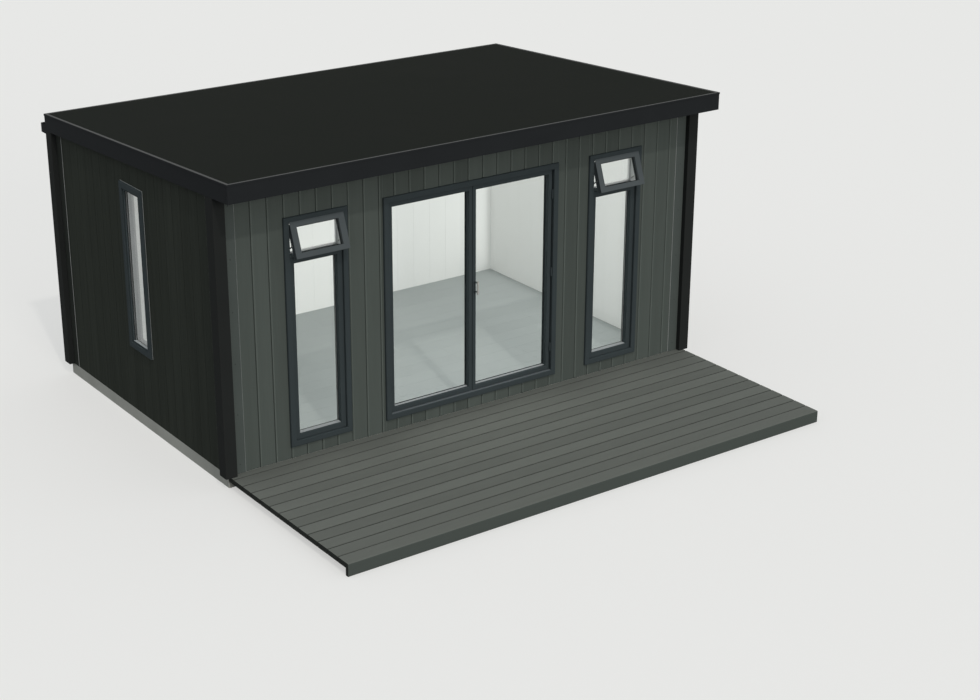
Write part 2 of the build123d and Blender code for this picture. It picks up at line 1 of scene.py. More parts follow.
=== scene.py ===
# %% [markdown]
# # A garden office pod
# This lesson finishes a small garden building: one insulated room under a low roof, with glazed
# double doors, tall windows and a boarded deck. The frame that is loaded first holds the exact
# sizes of every part, so nothing here is measured by eye: each board, seal and screw takes its
# place from that frame. All lengths are metres, +Z is up and the front looks along -Y.

# %% Load the frame
import random
from math import ceil, cos, pi, radians, sin

import bmesh
import bpy
from mathutils import Matrix, Vector


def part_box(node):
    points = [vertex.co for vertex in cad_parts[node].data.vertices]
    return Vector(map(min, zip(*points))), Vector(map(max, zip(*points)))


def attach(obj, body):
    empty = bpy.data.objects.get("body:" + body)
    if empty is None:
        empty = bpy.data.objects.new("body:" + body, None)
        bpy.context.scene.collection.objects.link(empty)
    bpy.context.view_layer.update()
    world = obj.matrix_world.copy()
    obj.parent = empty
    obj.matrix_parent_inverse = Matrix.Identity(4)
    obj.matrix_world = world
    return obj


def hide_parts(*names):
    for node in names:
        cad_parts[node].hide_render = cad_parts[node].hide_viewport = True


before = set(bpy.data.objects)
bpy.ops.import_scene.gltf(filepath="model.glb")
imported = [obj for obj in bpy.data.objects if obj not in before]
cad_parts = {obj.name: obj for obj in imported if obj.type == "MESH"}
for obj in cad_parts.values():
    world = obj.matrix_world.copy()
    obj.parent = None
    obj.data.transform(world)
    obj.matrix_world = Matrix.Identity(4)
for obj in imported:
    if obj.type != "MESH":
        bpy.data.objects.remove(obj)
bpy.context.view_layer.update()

scene = bpy.context.scene
scene.view_settings.view_transform = "Standard"


def add_object(name, data):
    """A new object in the scene, from its mesh, its lamp or its camera."""
    made = bpy.data.objects.new(name, data)
    scene.collection.objects.link(made)
    return made


# %% [markdown]
# ## The camera
# The building is looked at from well in front of its left corner and from above the roof's edge,
# as from a first-floor window across a lawn. A camera can be aimed by Euler angles, but here the
# three turns are written as matrices, in the order heading, tilt and roll, so that each one keeps
# its plain meaning. A lens of nearly 70 mm keeps the upright lines almost parallel.

# %% Camera
CAMERA_PLACE = Vector((-8.862, -13.918, 6.783))
CAMERA_LENS = 68.68
CAMERA_HEADING = radians(36.13)  # from straight ahead towards the right
CAMERA_TILT = radians(21.90)  # below the horizon
CAMERA_ROLL = radians(0.334)

camera = add_object("camera", bpy.data.cameras.new("camera"))
heading = Matrix.Rotation(-CAMERA_HEADING, 4, "Z")
tilt = Matrix.Rotation(pi / 2 - CAMERA_TILT, 4, "X")
roll = Matrix.Rotation(CAMERA_ROLL, 4, "Z")
camera.matrix_world = Matrix.Translation(CAMERA_PLACE) @ heading @ tilt @ roll
camera.data.lens = CAMERA_LENS
camera.data.sensor_width = 36.0
camera.data.clip_end = 200.0
scene.camera = camera
print("camera looks at the building from", round(CAMERA_PLACE.length, 1), "m")

# %% [markdown]
# ## What the frame says
# Most sizes are the corners of one part's box. Where one part holds several loose solids, such as
# the two front windows, `solid_boxes` joins the corners that lie together, follows the edges from
# corner to corner, and gives one box for each solid, sorted from left to right.

# %% Boxes of loose solids
SAME_POINT = 1e-5


def solid_boxes(node):
    """(lowest corner, highest corner) of each loose solid of a part, from left to right."""
    bm = bmesh.new()
    bm.from_mesh(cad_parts[node].data)
    bmesh.ops.remove_doubles(bm, verts=bm.verts[:], dist=SAME_POINT)
    left, boxes = set(bm.verts), []
    while left:
        group, queue = set(), [left.pop()]
        while queue:
            vert = queue.pop()
            group.add(vert)
            for edge in vert.link_edges:
                other = edge.other_vert(vert)
                if other in left:
                    left.remove(other)
                    queue.append(other)
        places = [vert.co for vert in group]
        boxes.append([Vector([pick(axis) for axis in zip(*places)]) for pick in (min, max)])
    bm.free()
    return sorted(boxes, key=lambda pair: (round(pair[0].x, 3), round(pair[0].y, 3), pair[0].z))


FRONT_WINDOWS = solid_boxes("front_window_frames")
SIDE_WINDOWS = solid_boxes("side_window_frames")
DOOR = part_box("door_frame")
print("frames:", len(FRONT_WINDOWS), "windows in front and", len(SIDE_WINDOWS), "at the sides")

# %% [markdown]
# The walls, the room and the roof give the planes that everything else is set out from. The roof
# slopes, so its height is a function of how far back a point lies. An opening is kept as its two
# sides, its foot and its head, measured along its own wall.

# %% Walls, room, roof and openings
BASE_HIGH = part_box("base_slab")[1]
CLAD_X, CLAD_Y, BASE_TOP = BASE_HIGH.x, BASE_HIGH.y, BASE_HIGH.z
POST_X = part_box("front_cladding")[1].x
POST_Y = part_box("left_cladding")[1].y
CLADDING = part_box("front_cladding")[1].y + CLAD_Y  # its thickness
ROOM_LOW, ROOM_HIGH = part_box("floor_panel")
LINING = 0.012
ROOM_X, ROOM_Y = ROOM_HIGH.x - LINING, ROOM_HIGH.y - LINING

roof_points = [v.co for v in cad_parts["roof_membrane"].data.vertices]
ROOF_FRONT = min(p.y for p in roof_points)
ROOF_REAR = max(p.y for p in roof_points)
FRONT_TOP = max(p.z for p in roof_points if p.y < ROOF_FRONT + 0.001)
REAR_TOP = max(p.z for p in roof_points if p.y > ROOF_REAR - 0.001)
ROOF_SLOPE = (FRONT_TOP - REAR_TOP) / (ROOF_REAR - ROOF_FRONT)


def roof_z(y, drop=0.0):
    """The height of the plane that lies a given drop below the roof's surface."""
    return FRONT_TOP - ROOF_SLOPE * (y - ROOF_FRONT) - drop


def hole_of(pair, axis=0):
    """The opening that one frame fills, as (low, high, bottom, top) along its wall's axis."""
    low, high = pair
    return low[axis], high[axis], low.z, high.z


FRONT_HOLES = [hole_of(pair) for pair in (FRONT_WINDOWS[0], DOOR, FRONT_WINDOWS[1])]
SIDE_HOLES = [hole_of(SIDE_WINDOWS[0], 1)]
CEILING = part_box("ceiling_panel")
CLADDING_DROP = roof_z(-CLAD_Y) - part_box("front_cladding")[1].z
CEILING_DROP = roof_z(CEILING[1].y) - CEILING[0].z
print("roof falls", round(1000 * ROOF_SLOPE), "mm a metre;", len(FRONT_HOLES), "openings in front")

# %% [markdown]
# ## Making a piece
# Every piece below is built the same way: its faces are collected in a bmesh, which is then turned
# into an object, told which body it rides on, which finish it takes and which plain parts it
# stands for. A weighted normal keeps the flat faces of a smooth piece looking flat between their
# soft edges.

# %% Helpers for pieces
def as_mesh(name, bm, *finishes):
    """A mesh from a bmesh, with its finishes."""
    mesh = bpy.data.meshes.new(name)
    bm.to_mesh(mesh)
    bm.free()
    for finish in finishes:
        mesh.materials.append(finish)
    return mesh


def new_piece(name, bm, finishes, slot, *stands_for, body="building", smooth=False):
    """One visible piece from a bmesh, on its body and with its finish or its list of finishes."""
    bmesh.ops.recalc_face_normals(bm, faces=bm.faces[:])
    finishes = finishes if isinstance(finishes, list) else [finishes]
    mesh = as_mesh(name, bm, *finishes)
    piece = add_object(name, mesh)
    if smooth:
        mesh.polygons.foreach_set("use_smooth", [True] * len(mesh.polygons))
        normals = piece.modifiers.new("even_normals", "WEIGHTED_NORMAL")
        normals.keep_sharp = True
    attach(piece, body)
    if stands_for:
        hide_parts(*stands_for)
    return piece


# %% [markdown]
# ### Blocks, rounded parts and plain parts
# Sharp edges catch no light, so many parts of the frame get a small bevel, which is what a real
# edge has. The bevel cuts into the part, so its size stays as it was. A plain part whose shape is
# right already is only given its finish.

# %% Blocks and rounded parts
BOX_FACES = ((0, 1, 3, 2), (4, 5, 7, 6), (0, 1, 5, 4), (2, 3, 7, 6), (0, 2, 6, 4), (1, 3, 7, 5))
SHARP = radians(30.0)  # an edge that turns by more than this is rounded


def add_block(bm, low, high):
    """A box between two corners."""
    verts = [bm.verts.new((x, y, z)) for z in (low[2], high[2]) for y in (low[1], high[1])
             for x in (low[0], high[0])]
    for face in BOX_FACES:
        bm.faces.new([verts[i] for i in face])


def soften(bm, width, segments=2):
    """Bevels every sharp edge."""
    sharp = [e for e in bm.edges if len(e.link_faces) == 2 and e.calc_face_angle(0) > SHARP]
    bmesh.ops.bevel(bm, geom=sharp, offset=width, segments=segments, profile=0.5, affect="EDGES")


def rounded(node, width, finishes, slot, segments=2, body="building"):
    """A part of the frame with its edges rounded, which stands for the plain one."""
    bm = bmesh.new()
    bm.from_mesh(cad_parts[node].data)
    bmesh.ops.remove_doubles(bm, verts=bm.verts[:], dist=SAME_POINT)
    bmesh.ops.dissolve_limit(bm, angle_limit=radians(1), verts=bm.verts[:], edges=bm.edges[:])
    soften(bm, width, segments)
    return new_piece(node + "_finished", bm, finishes, slot, node, body=body, smooth=True)


def give_finish(finish, *nodes):
    """Parts of the frame keep their own shape and take a finish."""
    for node in nodes:
        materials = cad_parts[node].data.materials
        materials.clear()
        materials.append(finish)


print("a bevel rounds every edge that turns by more than 30 degrees")

# %% [markdown]
# ## Materials
# Nothing here is painted from a picture. Each finish is a small tree of nodes: a noise stretched
# along the board gives the brushed grain, a second one gives slow changes of tone, and a number
# kept on each board's own corners makes neighbours differ a little, as boards from a stack do.
# A number that is the same all over a surface is set on the shader itself.

# %% Helpers for nodes
MATT = 0.005  # boards and coats have next to no shine, and show their own colour at any slant


def add_node(tree, kind, inputs=(), **settings):
    """A node with its settings, and its inputs either linked or set."""
    made = tree.nodes.new(kind)
    for key, value in settings.items():
        setattr(made, key, value)
    for key, value in dict(inputs).items():
        if isinstance(value, bpy.types.NodeSocket):
            tree.links.new(value, made.inputs[key])
        else:
            made.inputs[key].default_value = value
    return made


def new_finish(name, roughness, metallic=0.0, matt=True):
    """An empty finish: its material, its tree and its shader."""
    finish = bpy.data.materials.new(name)
    finish.use_nodes = True
    tree = finish.node_tree
    shader = tree.nodes["Principled BSDF"]
    shader.inputs["Roughness"].default_value = roughness
    shader.inputs["Metallic"].default_value = metallic
    if matt:
        shader.inputs["Specular IOR Level"].default_value = MATT
    return finish, tree, shader


def stretched_noise(tree, scale, detail=5.0, rough=0.55, warp=0.0):
    """Noise in the object's own metres, stretched by a scale along each axis."""
    place = add_node(tree, "ShaderNodeTexCoord").outputs["Object"]
    place = add_node(tree, "ShaderNodeMapping", {"Vector": place, "Scale": scale}).outputs["Vector"]
    return add_node(tree, "ShaderNodeTexNoise", {
        "Vector": place, "Scale": 1.0, "Detail": detail, "Roughness": rough, "Distortion": warp,
    }).outputs["Fac"]


def even_noise(tree, scale, **settings):
    """Noise of one scale in all directions."""
    return stretched_noise(tree, (scale, scale, scale), **settings)


print("a matt surface has a specular level of", MATT)

# %% [markdown]
# ### Sums, tones and relief
# A finish is put together from a few simple steps: adding up noises by their shares, stretching
# the middle of a noise, laying one colour over another, and linking the results to the shader. The
# relief of a grain comes from a bump node, because it is too fine to be modelled.

# %% Helpers for tones
def times(tree, socket, share):
    return add_node(tree, "ShaderNodeMath", {0: socket, 1: share}, operation="MULTIPLY").outputs[0]


def sum_of(tree, first, *others):
    """The sum of (socket, share) pairs."""
    total = times(tree, *first)
    for other in others:
        total = add_node(tree, "ShaderNodeMath", {0: total, 1: times(tree, *other)}).outputs[0]
    return total


def spread(tree, value, low, high, start=0.3, end=0.7):
    """A value's middle range stretched to run from low to high."""
    return add_node(tree, "ShaderNodeMapRange", {
        "Value": value, "From Min": start, "From Max": end, "To Min": low, "To Max": high,
    }).outputs["Result"]


def laid_over(tree, amount, under, over):
    """One colour over another, by an amount from 0 to 1; each is a socket or three numbers."""
    under, over = [c if isinstance(c, bpy.types.NodeSocket) else (*c, 1.0) for c in (under, over)]
    return add_node(tree, "ShaderNodeMix", {0: amount, 6: under, 7: over}, data_type="RGBA",
                    clamp_factor=True).outputs[2]


def shaded(colour, share):
    return [c * share for c in colour]


def varied(tree, amount, colour, contrast):
    """A colour that runs from a darker to a lighter version of itself."""
    return laid_over(tree, amount, shaded(colour, 1 - contrast), shaded(colour, 1 + contrast))


def dress(tree, shader, base, roughness, height, strength, depth):
    """Links a finish's colour, roughness and relief to its shader."""
    relief = add_node(tree, "ShaderNodeBump",
                      {"Height": height, "Strength": strength, "Distance": depth})
    links = {"Base Color": base, "Roughness": roughness, "Normal": relief.outputs["Normal"]}
    for name, socket in links.items():
        if socket is not None:
            tree.links.new(socket, shader.inputs[name])


print("steps:", [step.__name__ for step in (times, sum_of, spread, laid_over, varied, dress)])

# %% [markdown]
# ### Composite boards
# The walls and the deck are boards of wood flour and plastic with a brushed, matt face. The grain
# runs along the board, so the noise is squeezed tightly across it and drawn out along it. The
# corners of a board carry two numbers: `tone`, its own shade, and `edge`, which is 1 along the
# arris painted pale as a painted highlight, where the light catches, and below 0 along the one
# painted darker as painted shade, where it lies in shade.

# %% Board finishes
def board_finish(name, colour, along, contrast=0.16, tone_share=0.35, roughness=0.68, coarse=1.0,
                 pale=1.6, arris_shade=0.55):
    """A brushed composite board whose grain runs along x, y or z.

    Its two arrises are painted paler and darker than its face, as painted highlight and painted
    shade; the last two arguments give those shades as shares of its colour."""
    finish, tree, shader = new_finish(name, roughness)
    fine = [210.0 / coarse] * 3
    broad = [16.0] * 3
    for axis in along:
        fine["xyz".index(axis)] = 3.5 / coarse
        broad["xyz".index(axis)] = 0.9
    grain = stretched_noise(tree, fine, detail=4.0, rough=0.7, warp=0.3)
    cloud = stretched_noise(tree, broad, detail=3.0)
    tone, edge = [add_node(tree, "ShaderNodeAttribute", attribute_name=name).outputs["Fac"]
                  for name in ("tone", "edge")]
    rest = 1.0 - tone_share
    factor = sum_of(tree, (grain, rest * 0.6), (cloud, rest * 0.4), (tone, tone_share))
    face = varied(tree, factor, colour, contrast * 2)
    # Painted highlight on the arris where edge is above 0, painted shade where it is below 0.
    face = laid_over(tree, edge, face, shaded(colour, pale))
    face = laid_over(tree, times(tree, edge, -1.0), face, shaded(colour, arris_shade))
    dress(tree, shader, face, spread(tree, grain, roughness + 0.08, roughness - 0.10),
          grain, 0.35, 0.0006)
    return finish


FRONT_BOARD_COLOUR = (0.0880, 0.1015, 0.0915)
DARK_BOARD_COLOUR = (0.0452, 0.0501, 0.0418)
DECK_COLOUR = (0.160, 0.168, 0.150)
LINING_COLOUR = (0.80, 0.81, 0.79)
FLOOR_COLOUR = (0.345, 0.373, 0.367)

front_board = board_finish("front_board", FRONT_BOARD_COLOUR, "z")
dark_board = board_finish("dark_board", DARK_BOARD_COLOUR, "z", 0.22, 0.12, coarse=2.2)
deck_board = board_finish("deck_board", DECK_COLOUR, "x", 0.13, 0.4)
# The wall boards' darker colour for the nosing's front: painted shade on an upright face.
shaded_deck_front = board_finish("shaded_deck_front", FRONT_BOARD_COLOUR, "x", 0.09)
white_board, ceiling_board = [
    board_finish(name, LINING_COLOUR, along, 0.008, 0.3, 0.5, pale=1.0, arris_shade=0.9)
    for name, along in (("white_board", "z"), ("ceiling_board", "x"))]
floor_board = board_finish("floor_board", FLOOR_COLOUR, "x", 0.025, 0.35, 0.42, pale=1.0,
                           arris_shade=0.85)
print("boards:", [m.name for m in (front_board, dark_board, deck_board, white_board, floor_board)])

# %% [markdown]
# ### Coated metal, rubber, concrete, steel and timber
# Powder coat is a matt plastic skin with a fine orange-peel texture, which is a small round noise
# used only as bump. The rubber roof is matt with dusty patches, concrete is a pale mass with dark
# pores, and the handles are steel brushed round their length.

# %% Coats, sheets, steel and timber
def coat_finish(name, colour, roughness=0.42, contrast=0.05):
    """Powder-coated metal: fine orange peel, slow changes of sheen and a little dust."""
    finish, tree, shader = new_finish(name, roughness)
    peel = even_noise(tree, 900.0, detail=2.0)
    cloud = even_noise(tree, 2.2, detail=4.0)
    dress(tree, shader, varied(tree, spread(tree, cloud, 0, 1), colour, contrast),
          spread(tree, cloud, roughness - 0.05, roughness + 0.07), peel, 0.12, 0.0002)
    return finish


def mottled_finish(name, colour, scale, contrast, roughness, bump_depth, pores=0.0):
    """A cast or sheet material with cloudy tone and, for concrete, small pores."""
    finish, tree, shader = new_finish(name, roughness)
    cloud = even_noise(tree, scale, detail=8.0, rough=0.6)
    fine = even_noise(tree, scale * 40, detail=3.0)
    factor = sum_of(tree, (spread(tree, cloud, 0, 1), 0.7), (fine, 0.3))
    height = fine
    if pores:
        place = add_node(tree, "ShaderNodeTexCoord").outputs["Object"]
        cells = add_node(tree, "ShaderNodeTexVoronoi", {"Vector": place, "Scale": scale * 30})
        pit = spread(tree, cells.outputs["Distance"], 0.0, 1.0, 0.05, 0.22)
        factor = sum_of(tree, (factor, 1.0 - pores), (pit, pores))
        height = sum_of(tree, (fine, 0.4), (pit, 0.6))
    dress(tree, shader, varied(tree, factor, colour, contrast),
          spread(tree, cloud, roughness - 0.06, roughness + 0.06), height, 0.4, bump_depth)
    return finish


def steel_finish(name, colour, roughness):
    """Satin steel, brushed round an upright bar."""
    finish, tree, shader = new_finish(name, roughness, metallic=1.0, matt=False)
    lines = stretched_noise(tree, (40.0, 40.0, 1400.0), detail=3.0)
    dress(tree, shader, varied(tree, lines, colour, 0.08),
          spread(tree, lines, roughness - 0.06, roughness + 0.1), lines, 0.15, 0.0001)
    return finish


def timber_finish(name, colour):
    """Sawn, pressure-treated softwood with its grain along y."""
    finish, tree, shader = new_finish(name, 0.8, matt=False)
    grain = stretched_noise(tree, (120.0, 4.0, 120.0), detail=6.0, rough=0.7, warp=0.6)
    face = varied(tree, spread(tree, grain, 0, 1), colour, 0.35)
    dress(tree, shader, face, None, grain, 0.4, 0.001)
    return finish


joist_timber = timber_finish("joist_timber", (0.20, 0.155, 0.09))
print("the timber's tree has", len(joist_timber.node_tree.nodes), "nodes")

# %% [markdown]
# ### The colours
# The outside of the frames is a blue-grey coat; the opened sashes, which lean towards the sky, have
# it painted paler, as painted light. Inside, the frames are light. Each finish takes its colour
# first and then, where it differs from the usual, its roughness and how much its tone varies.

# %% Finishes by colour
black_coat = coat_finish("black_coat", (0.0240, 0.0260, 0.0275))
post_coat = coat_finish("post_coat", (0.0250, 0.0268, 0.0258), 0.45)
flashing_coat = coat_finish("flashing_coat", (0.0865, 0.1000, 0.0925), 0.5)
dark_flashing_coat = coat_finish("dark_flashing_coat", (0.0350, 0.0385, 0.0340), 0.5)
# Painted highlight: the black roof trim's level faces, painted pale where they catch the light.
trim_highlight_coat = coat_finish("trim_highlight_coat", (0.105, 0.106, 0.103), 0.4)
frame_coat = coat_finish("frame_coat", (0.049, 0.0605, 0.0635), 0.38)
inner_coat = coat_finish("inner_coat", (0.37, 0.38, 0.38), 0.4, 0.02)
inner_white = coat_finish("inner_white", (0.76, 0.77, 0.76), 0.4, 0.02)
# The frame coat painted paler: painted light on the opened sashes, which face the sky.
sky_lit_sash_coat = coat_finish("sky_lit_sash_coat", (0.090, 0.103, 0.107), 0.38)
# Painted highlight: the threshold is painted pale for the light on its upward face.
threshold_highlight_coat = coat_finish("threshold_highlight_coat", (0.165, 0.185, 0.195), 0.35, 0.03)
# Painted highlight: the wedges are painted pale for the light on their upward faces.
sill_highlight_coat = coat_finish("sill_highlight_coat", (0.34, 0.36, 0.365), 0.35, 0.03)
seal_rubber = mottled_finish("seal_rubber", (0.012, 0.012, 0.012), 3.0, 0.15, 0.6, 0.0002)
roof_rubber = mottled_finish("roof_rubber", (0.0186, 0.0206, 0.0178), 1.3, 0.10, 0.72, 0.0012)
concrete = mottled_finish("concrete", (0.425, 0.427, 0.386), 2.0, 0.25, 0.85, 0.0015, pores=0.35)
deck_core = mottled_finish("deck_core", (0.042, 0.045, 0.040), 6.0, 0.2, 0.75, 0.0006)
board_core = mottled_finish("board_core", (0.012, 0.013, 0.012), 6.0, 0.3, 0.75, 0.0008)
satin_steel = steel_finish("satin_steel", (0.46, 0.46, 0.44), 0.5)
spacer_metal = steel_finish("spacer_metal", (0.40, 0.41, 0.41), 0.4)
sealant = mottled_finish("sealant", (0.33, 0.34, 0.33), 8.0, 0.1, 0.5, 0.0002)
print(len(bpy.data.materials), "finishes so far, with the plain ones of the frame")

# %% [markdown]
# ## The boarded walls
# A board is drawn as a closed outline, its arrises already taken off, and lofted from its foot to
# its head. Each corner of the outline keeps the two numbers that the board's finish asks for, so
# the arris with painted highlight and the one with painted shade need no separate strips.

# %% One board
FLAT = 0.004  # a narrow strip beside each arris, where the painted highlight of the one and the painted shade of the other fade into the face


def level(z):
    """An end that is cut square, at one height all over."""
    return lambda u, d: z


def add_loft(bm, rings, tone=0.5, edges=None, end_finish=0):
    """A closed solid through rings of points; edges gives the points on an arris their painted
    highlight, above 0, or their painted shade, below 0.
    """
    tone_layer = bm.verts.layers.float.get("tone") or bm.verts.layers.float.new("tone")
    edge_layer = bm.verts.layers.float.get("edge") or bm.verts.layers.float.new("edge")
    loops = []
    for ring in rings:
        loop = [bm.verts.new(point) for point in ring]
        for i, vert in enumerate(loop):
            vert[tone_layer] = tone
            vert[edge_layer] = edges[i] if edges else 0.0
        loops.append(loop)
    for a, b in zip(loops, loops[1:]):
        for i in range(len(a)):
            j = (i + 1) % len(a)
            bm.faces.new((a[i], a[j], b[j], b[i]))
    for loop in (loops[0], loops[-1]):
        bm.faces.new(loop).material_index = end_finish


def add_board(bm, place, u0, u1, start, stop, thickness, left, right, tone, end_finish=0,
              worn=(1, -1)):
    """A board whose outline lies across u and depth; start and stop give its ends, by place.

    The last argument says how much paler, as painted highlight, or, below 0, darker, as painted
    shade, the left and right arrises are than the face.
    With an end_finish, the board's ends, sides and back take that finish and its face doesn't."""
    flat = min(FLAT, (u1 - u0) / 4)
    outline = [(u0, thickness), (u0, left), (u0 + left, 0), (u0 + left + flat, 0),
               (u1 - right - flat, 0), (u1 - right, 0), (u1, right), (u1, thickness)]
    rings = [[place(u, d, end(u, d)) for u, d in outline] for end in (start, stop)]
    # Painted highlight or painted shade for each point of the two arrises, none on the face.
    edges = [0.3 * worn[0], worn[0], worn[0], 0, 0, 0.8 * worn[1], worn[1], worn[1]]
    add_loft(bm, rings, tone, edges, end_finish)
    if end_finish:
        bm.faces.ensure_lookup_table()
        for face in (bm.faces[-10], bm.faces[-4], bm.faces[-3]):
            face.material_index = end_finish


print("a board fades from its arris to its face over", round(1000 * FLAT), "mm")

# %% [markdown]
# ### A row of boards
# Between neighbours an open joint of a few millimetres shows the dark wall behind, so the wall
# reads as boards and not as a striped sheet. A board that meets a window or the door is split at
# the opening's edges into lengths above, below and beside it. The tones come from numbered dice,
# so that every run of this lesson lays the same wall.

# %% Rows of boards
BOARD_PITCH = 0.150
SAWN_EDGE = 0.0002  # a side cut at a post or at an opening has next to no arris
LEAST_BOARD = 0.01  # a narrower strip stays part of its neighbour


def board_cuts(low, high, first, pitch):
    """Where the boards of a row meet, with both ends of the row."""
    meets = [first + pitch * n for n in range(ceil((high - first) / pitch) + 1)]
    return [low, *(m for m in meets if low + LEAST_BOARD < m < high - LEAST_BOARD), high]


def add_boarding(bm, place, cuts, start, stop, thickness, joint, arrises, holes=(), seed=1,
                 worn=(1, -1)):
    """A row of upright boards between two ends, kept out of holes (low, high, bottom, top)."""
    dice = random.Random(seed)
    for i, (low, high) in enumerate(zip(cuts, cuts[1:])):
        a = low + (joint / 2 if i > 0 else 0)
        b = high - (joint / 2 if i < len(cuts) - 2 else 0)
        tone = dice.random()
        edges = sorted({a, b, *(side for hole in holes for side in hole[:2] if a < side < b)})
        for u0, u1 in zip(edges, edges[1:]):
            middle = (u0 + u1) / 2
            left = arrises[0] if u0 == a and i > 0 else SAWN_EDGE
            right = arrises[1] if u1 == b and i < len(cuts) - 2 else SAWN_EDGE
            ends = [start]
            for hole in holes:
                if hole[0] < middle < hole[1]:
                    ends += [level(hole[2]), level(hole[3])]
            ends.append(stop)
            for lower, upper in zip(ends[::2], ends[1::2]):
                if upper(middle, 0) > lower(middle, 0) + 0.001:
                    # The arrises take the painted highlight and painted shade that the last
                    # argument gives.
                    add_board(bm, place, u0, u1, lower, upper, thickness, left, right, tone,
                              worn=worn)


print("wall boards are laid every", round(1000 * BOARD_PITCH), "mm")

# %% [markdown]
# ### Places on a wall
# A row is worked out flat, as a distance along the wall, a depth into it and a height, and a small
# function stands it up on its side of the building. So one way of making boards, frames and beads
# serves all four sides.

# %% Places on the walls
def front_place(u, d, z):
    return Vector((u, -CLAD_Y + d, z))


def rear_place(u, d, z):
    return Vector((-u, CLAD_Y - d, z))


def left_place(u, d, z):
    return Vector((-CLAD_X + d, -u, z))


def right_place(u, d, z):
    return Vector((CLAD_X - d, u, z))


print("the middle of the left wall's foot is at", [round(v, 2) for v in left_place(0, 0, BASE_TOP)])

# %% [markdown]
# ### The four walls
# The front boards are mid grey with broad arrises, and the rear ones are the same. The side boards
# are nearly black, with narrow arrises, and stand in the shade. Every row starts from a joint that
# a corner post hides, and stands on a thin strip that keeps it off the base.

# %% Boards on the walls
FRONT_JOINT = -2.446
SIDE_JOINT = -1.521
SIDE_BOARDS = 20  # from a joint hidden by the front post to one hidden by the rear post
FRONT_STYLE = (0.0040, (0.0065, 0.0060), (1, -1))  # joint, arrises and the painted highlight and painted shade of the arrises
SIDE_STYLE = (0.0018, (0.0012, 0.0012), (0.2, -0.6))
STARTER = 0.001  # the strip that the boards stand on
STARTER_INSET = 0.0005
left_holes = [(-high, -low, bottom, top) for low, high, bottom, top in SIDE_HOLES]
left_joint = -SIDE_JOINT - SIDE_BOARDS * BOARD_PITCH
front_look = (FRONT_STYLE, front_board, "grey_board")
side_look = (SIDE_STYLE, dark_board, "black_board")
WALLS = [
    ("front", front_place, POST_X, FRONT_JOINT, FRONT_HOLES, *front_look),
    ("rear", rear_place, POST_X, FRONT_JOINT, [], *front_look),
    ("left", left_place, POST_Y, left_joint, left_holes, *side_look),
    ("right", right_place, POST_Y, SIDE_JOINT, SIDE_HOLES, *side_look),
]
starter = bmesh.new()
for index, (side, place, end, first, holes, style, finish, slot) in enumerate(WALLS):
    joint, arrises, worn = style
    bm = bmesh.new()
    top = lambda u, d, place=place: roof_z(place(u, d, 0).y, CLADDING_DROP)
    cuts = board_cuts(-end, end, first, BOARD_PITCH)
    add_boarding(bm, place, cuts, level(BASE_TOP + STARTER), top, CLADDING, joint, arrises,
                 holes, 11 + index, worn)
    corners = [place(-end, STARTER_INSET, BASE_TOP),
               place(end, CLADDING - STARTER_INSET, BASE_TOP + STARTER)]
    add_block(starter, *([pick(pair) for pair in zip(*corners)] for pick in (min, max)))
    new_piece(side + "_boards", bm, finish, slot, side + "_cladding")
    print(side, "wall:", len(cuts) - 1, "boards")

new_piece("starter_strips", starter, board_core, "black_metal")
give_finish(board_core, "front_wall_left", "front_wall_right", "front_wall_over_door",
            "front_wall_under_door", "left_wall", "right_wall", "rear_wall", "roof_deck")

# %% [markdown]
# ## The room
# Inside, the walls are lined with wide white boards with hairline joints, and the ceiling with the
# same boards across. They are laid by the same function as the outside boards, each wall with its
# own place, and they reach up to the sloping ceiling.

# %% Linings and ceiling
LINING_PITCH = 0.200
LINING_JOINT = 0.0003
LINING_ARRISES = (0.0004, 0.0004)
GAP = 0.001  # between the side linings and the front and rear ones
bm = bmesh.new()
LININGS = [
    (lambda u, d, z: Vector((u, -ROOM_Y - d, z)), ROOM_HIGH.x, FRONT_HOLES),
    (lambda u, d, z: Vector((u, ROOM_Y + d, z)), ROOM_HIGH.x, []),
    (lambda u, d, z: Vector((-ROOM_X - d, u, z)), ROOM_Y - GAP, SIDE_HOLES),
    (lambda u, d, z: Vector((ROOM_X + d, u, z)), ROOM_Y - GAP, SIDE_HOLES),
]
for index, (place, end, holes) in enumerate(LININGS):
    top = lambda u, d, place=place: roof_z(place(u, d, 0).y, CEILING_DROP)
    cuts = board_cuts(-end, end, -end + LINING_PITCH, LINING_PITCH)
    add_boarding(bm, place, cuts, level(ROOM_HIGH.z), top, LINING, LINING_JOINT,
                 LINING_ARRISES, holes, 21 + index)
new_piece("lining_boards", bm, white_board, "white_lining", "wall_linings")

bm = bmesh.new()
ceiling_place = lambda u, d, x: Vector((x, u, roof_z(u, CEILING_DROP) + d))
cuts = board_cuts(ROOM_LOW.y, ROOM_HIGH.y, ROOM_LOW.y + LINING_PITCH, LINING_PITCH)
add_boarding(bm, ceiling_place, cuts, level(ROOM_LOW.x), level(ROOM_HIGH.x), LINING,
             LINING_JOINT, LINING_ARRISES, (), 31)
new_piece("ceiling_boards", bm, ceiling_board, "white_lining", "ceiling_panel")
print("the ceiling has", len(cuts) - 1, "boards")

# %% [markdown]
# ### The floor
# Grey planks run along the room. A fitter starts each row with a shorter piece, so that the end
# joints never line up from row to row, and here the start of a row is worked out from its number.

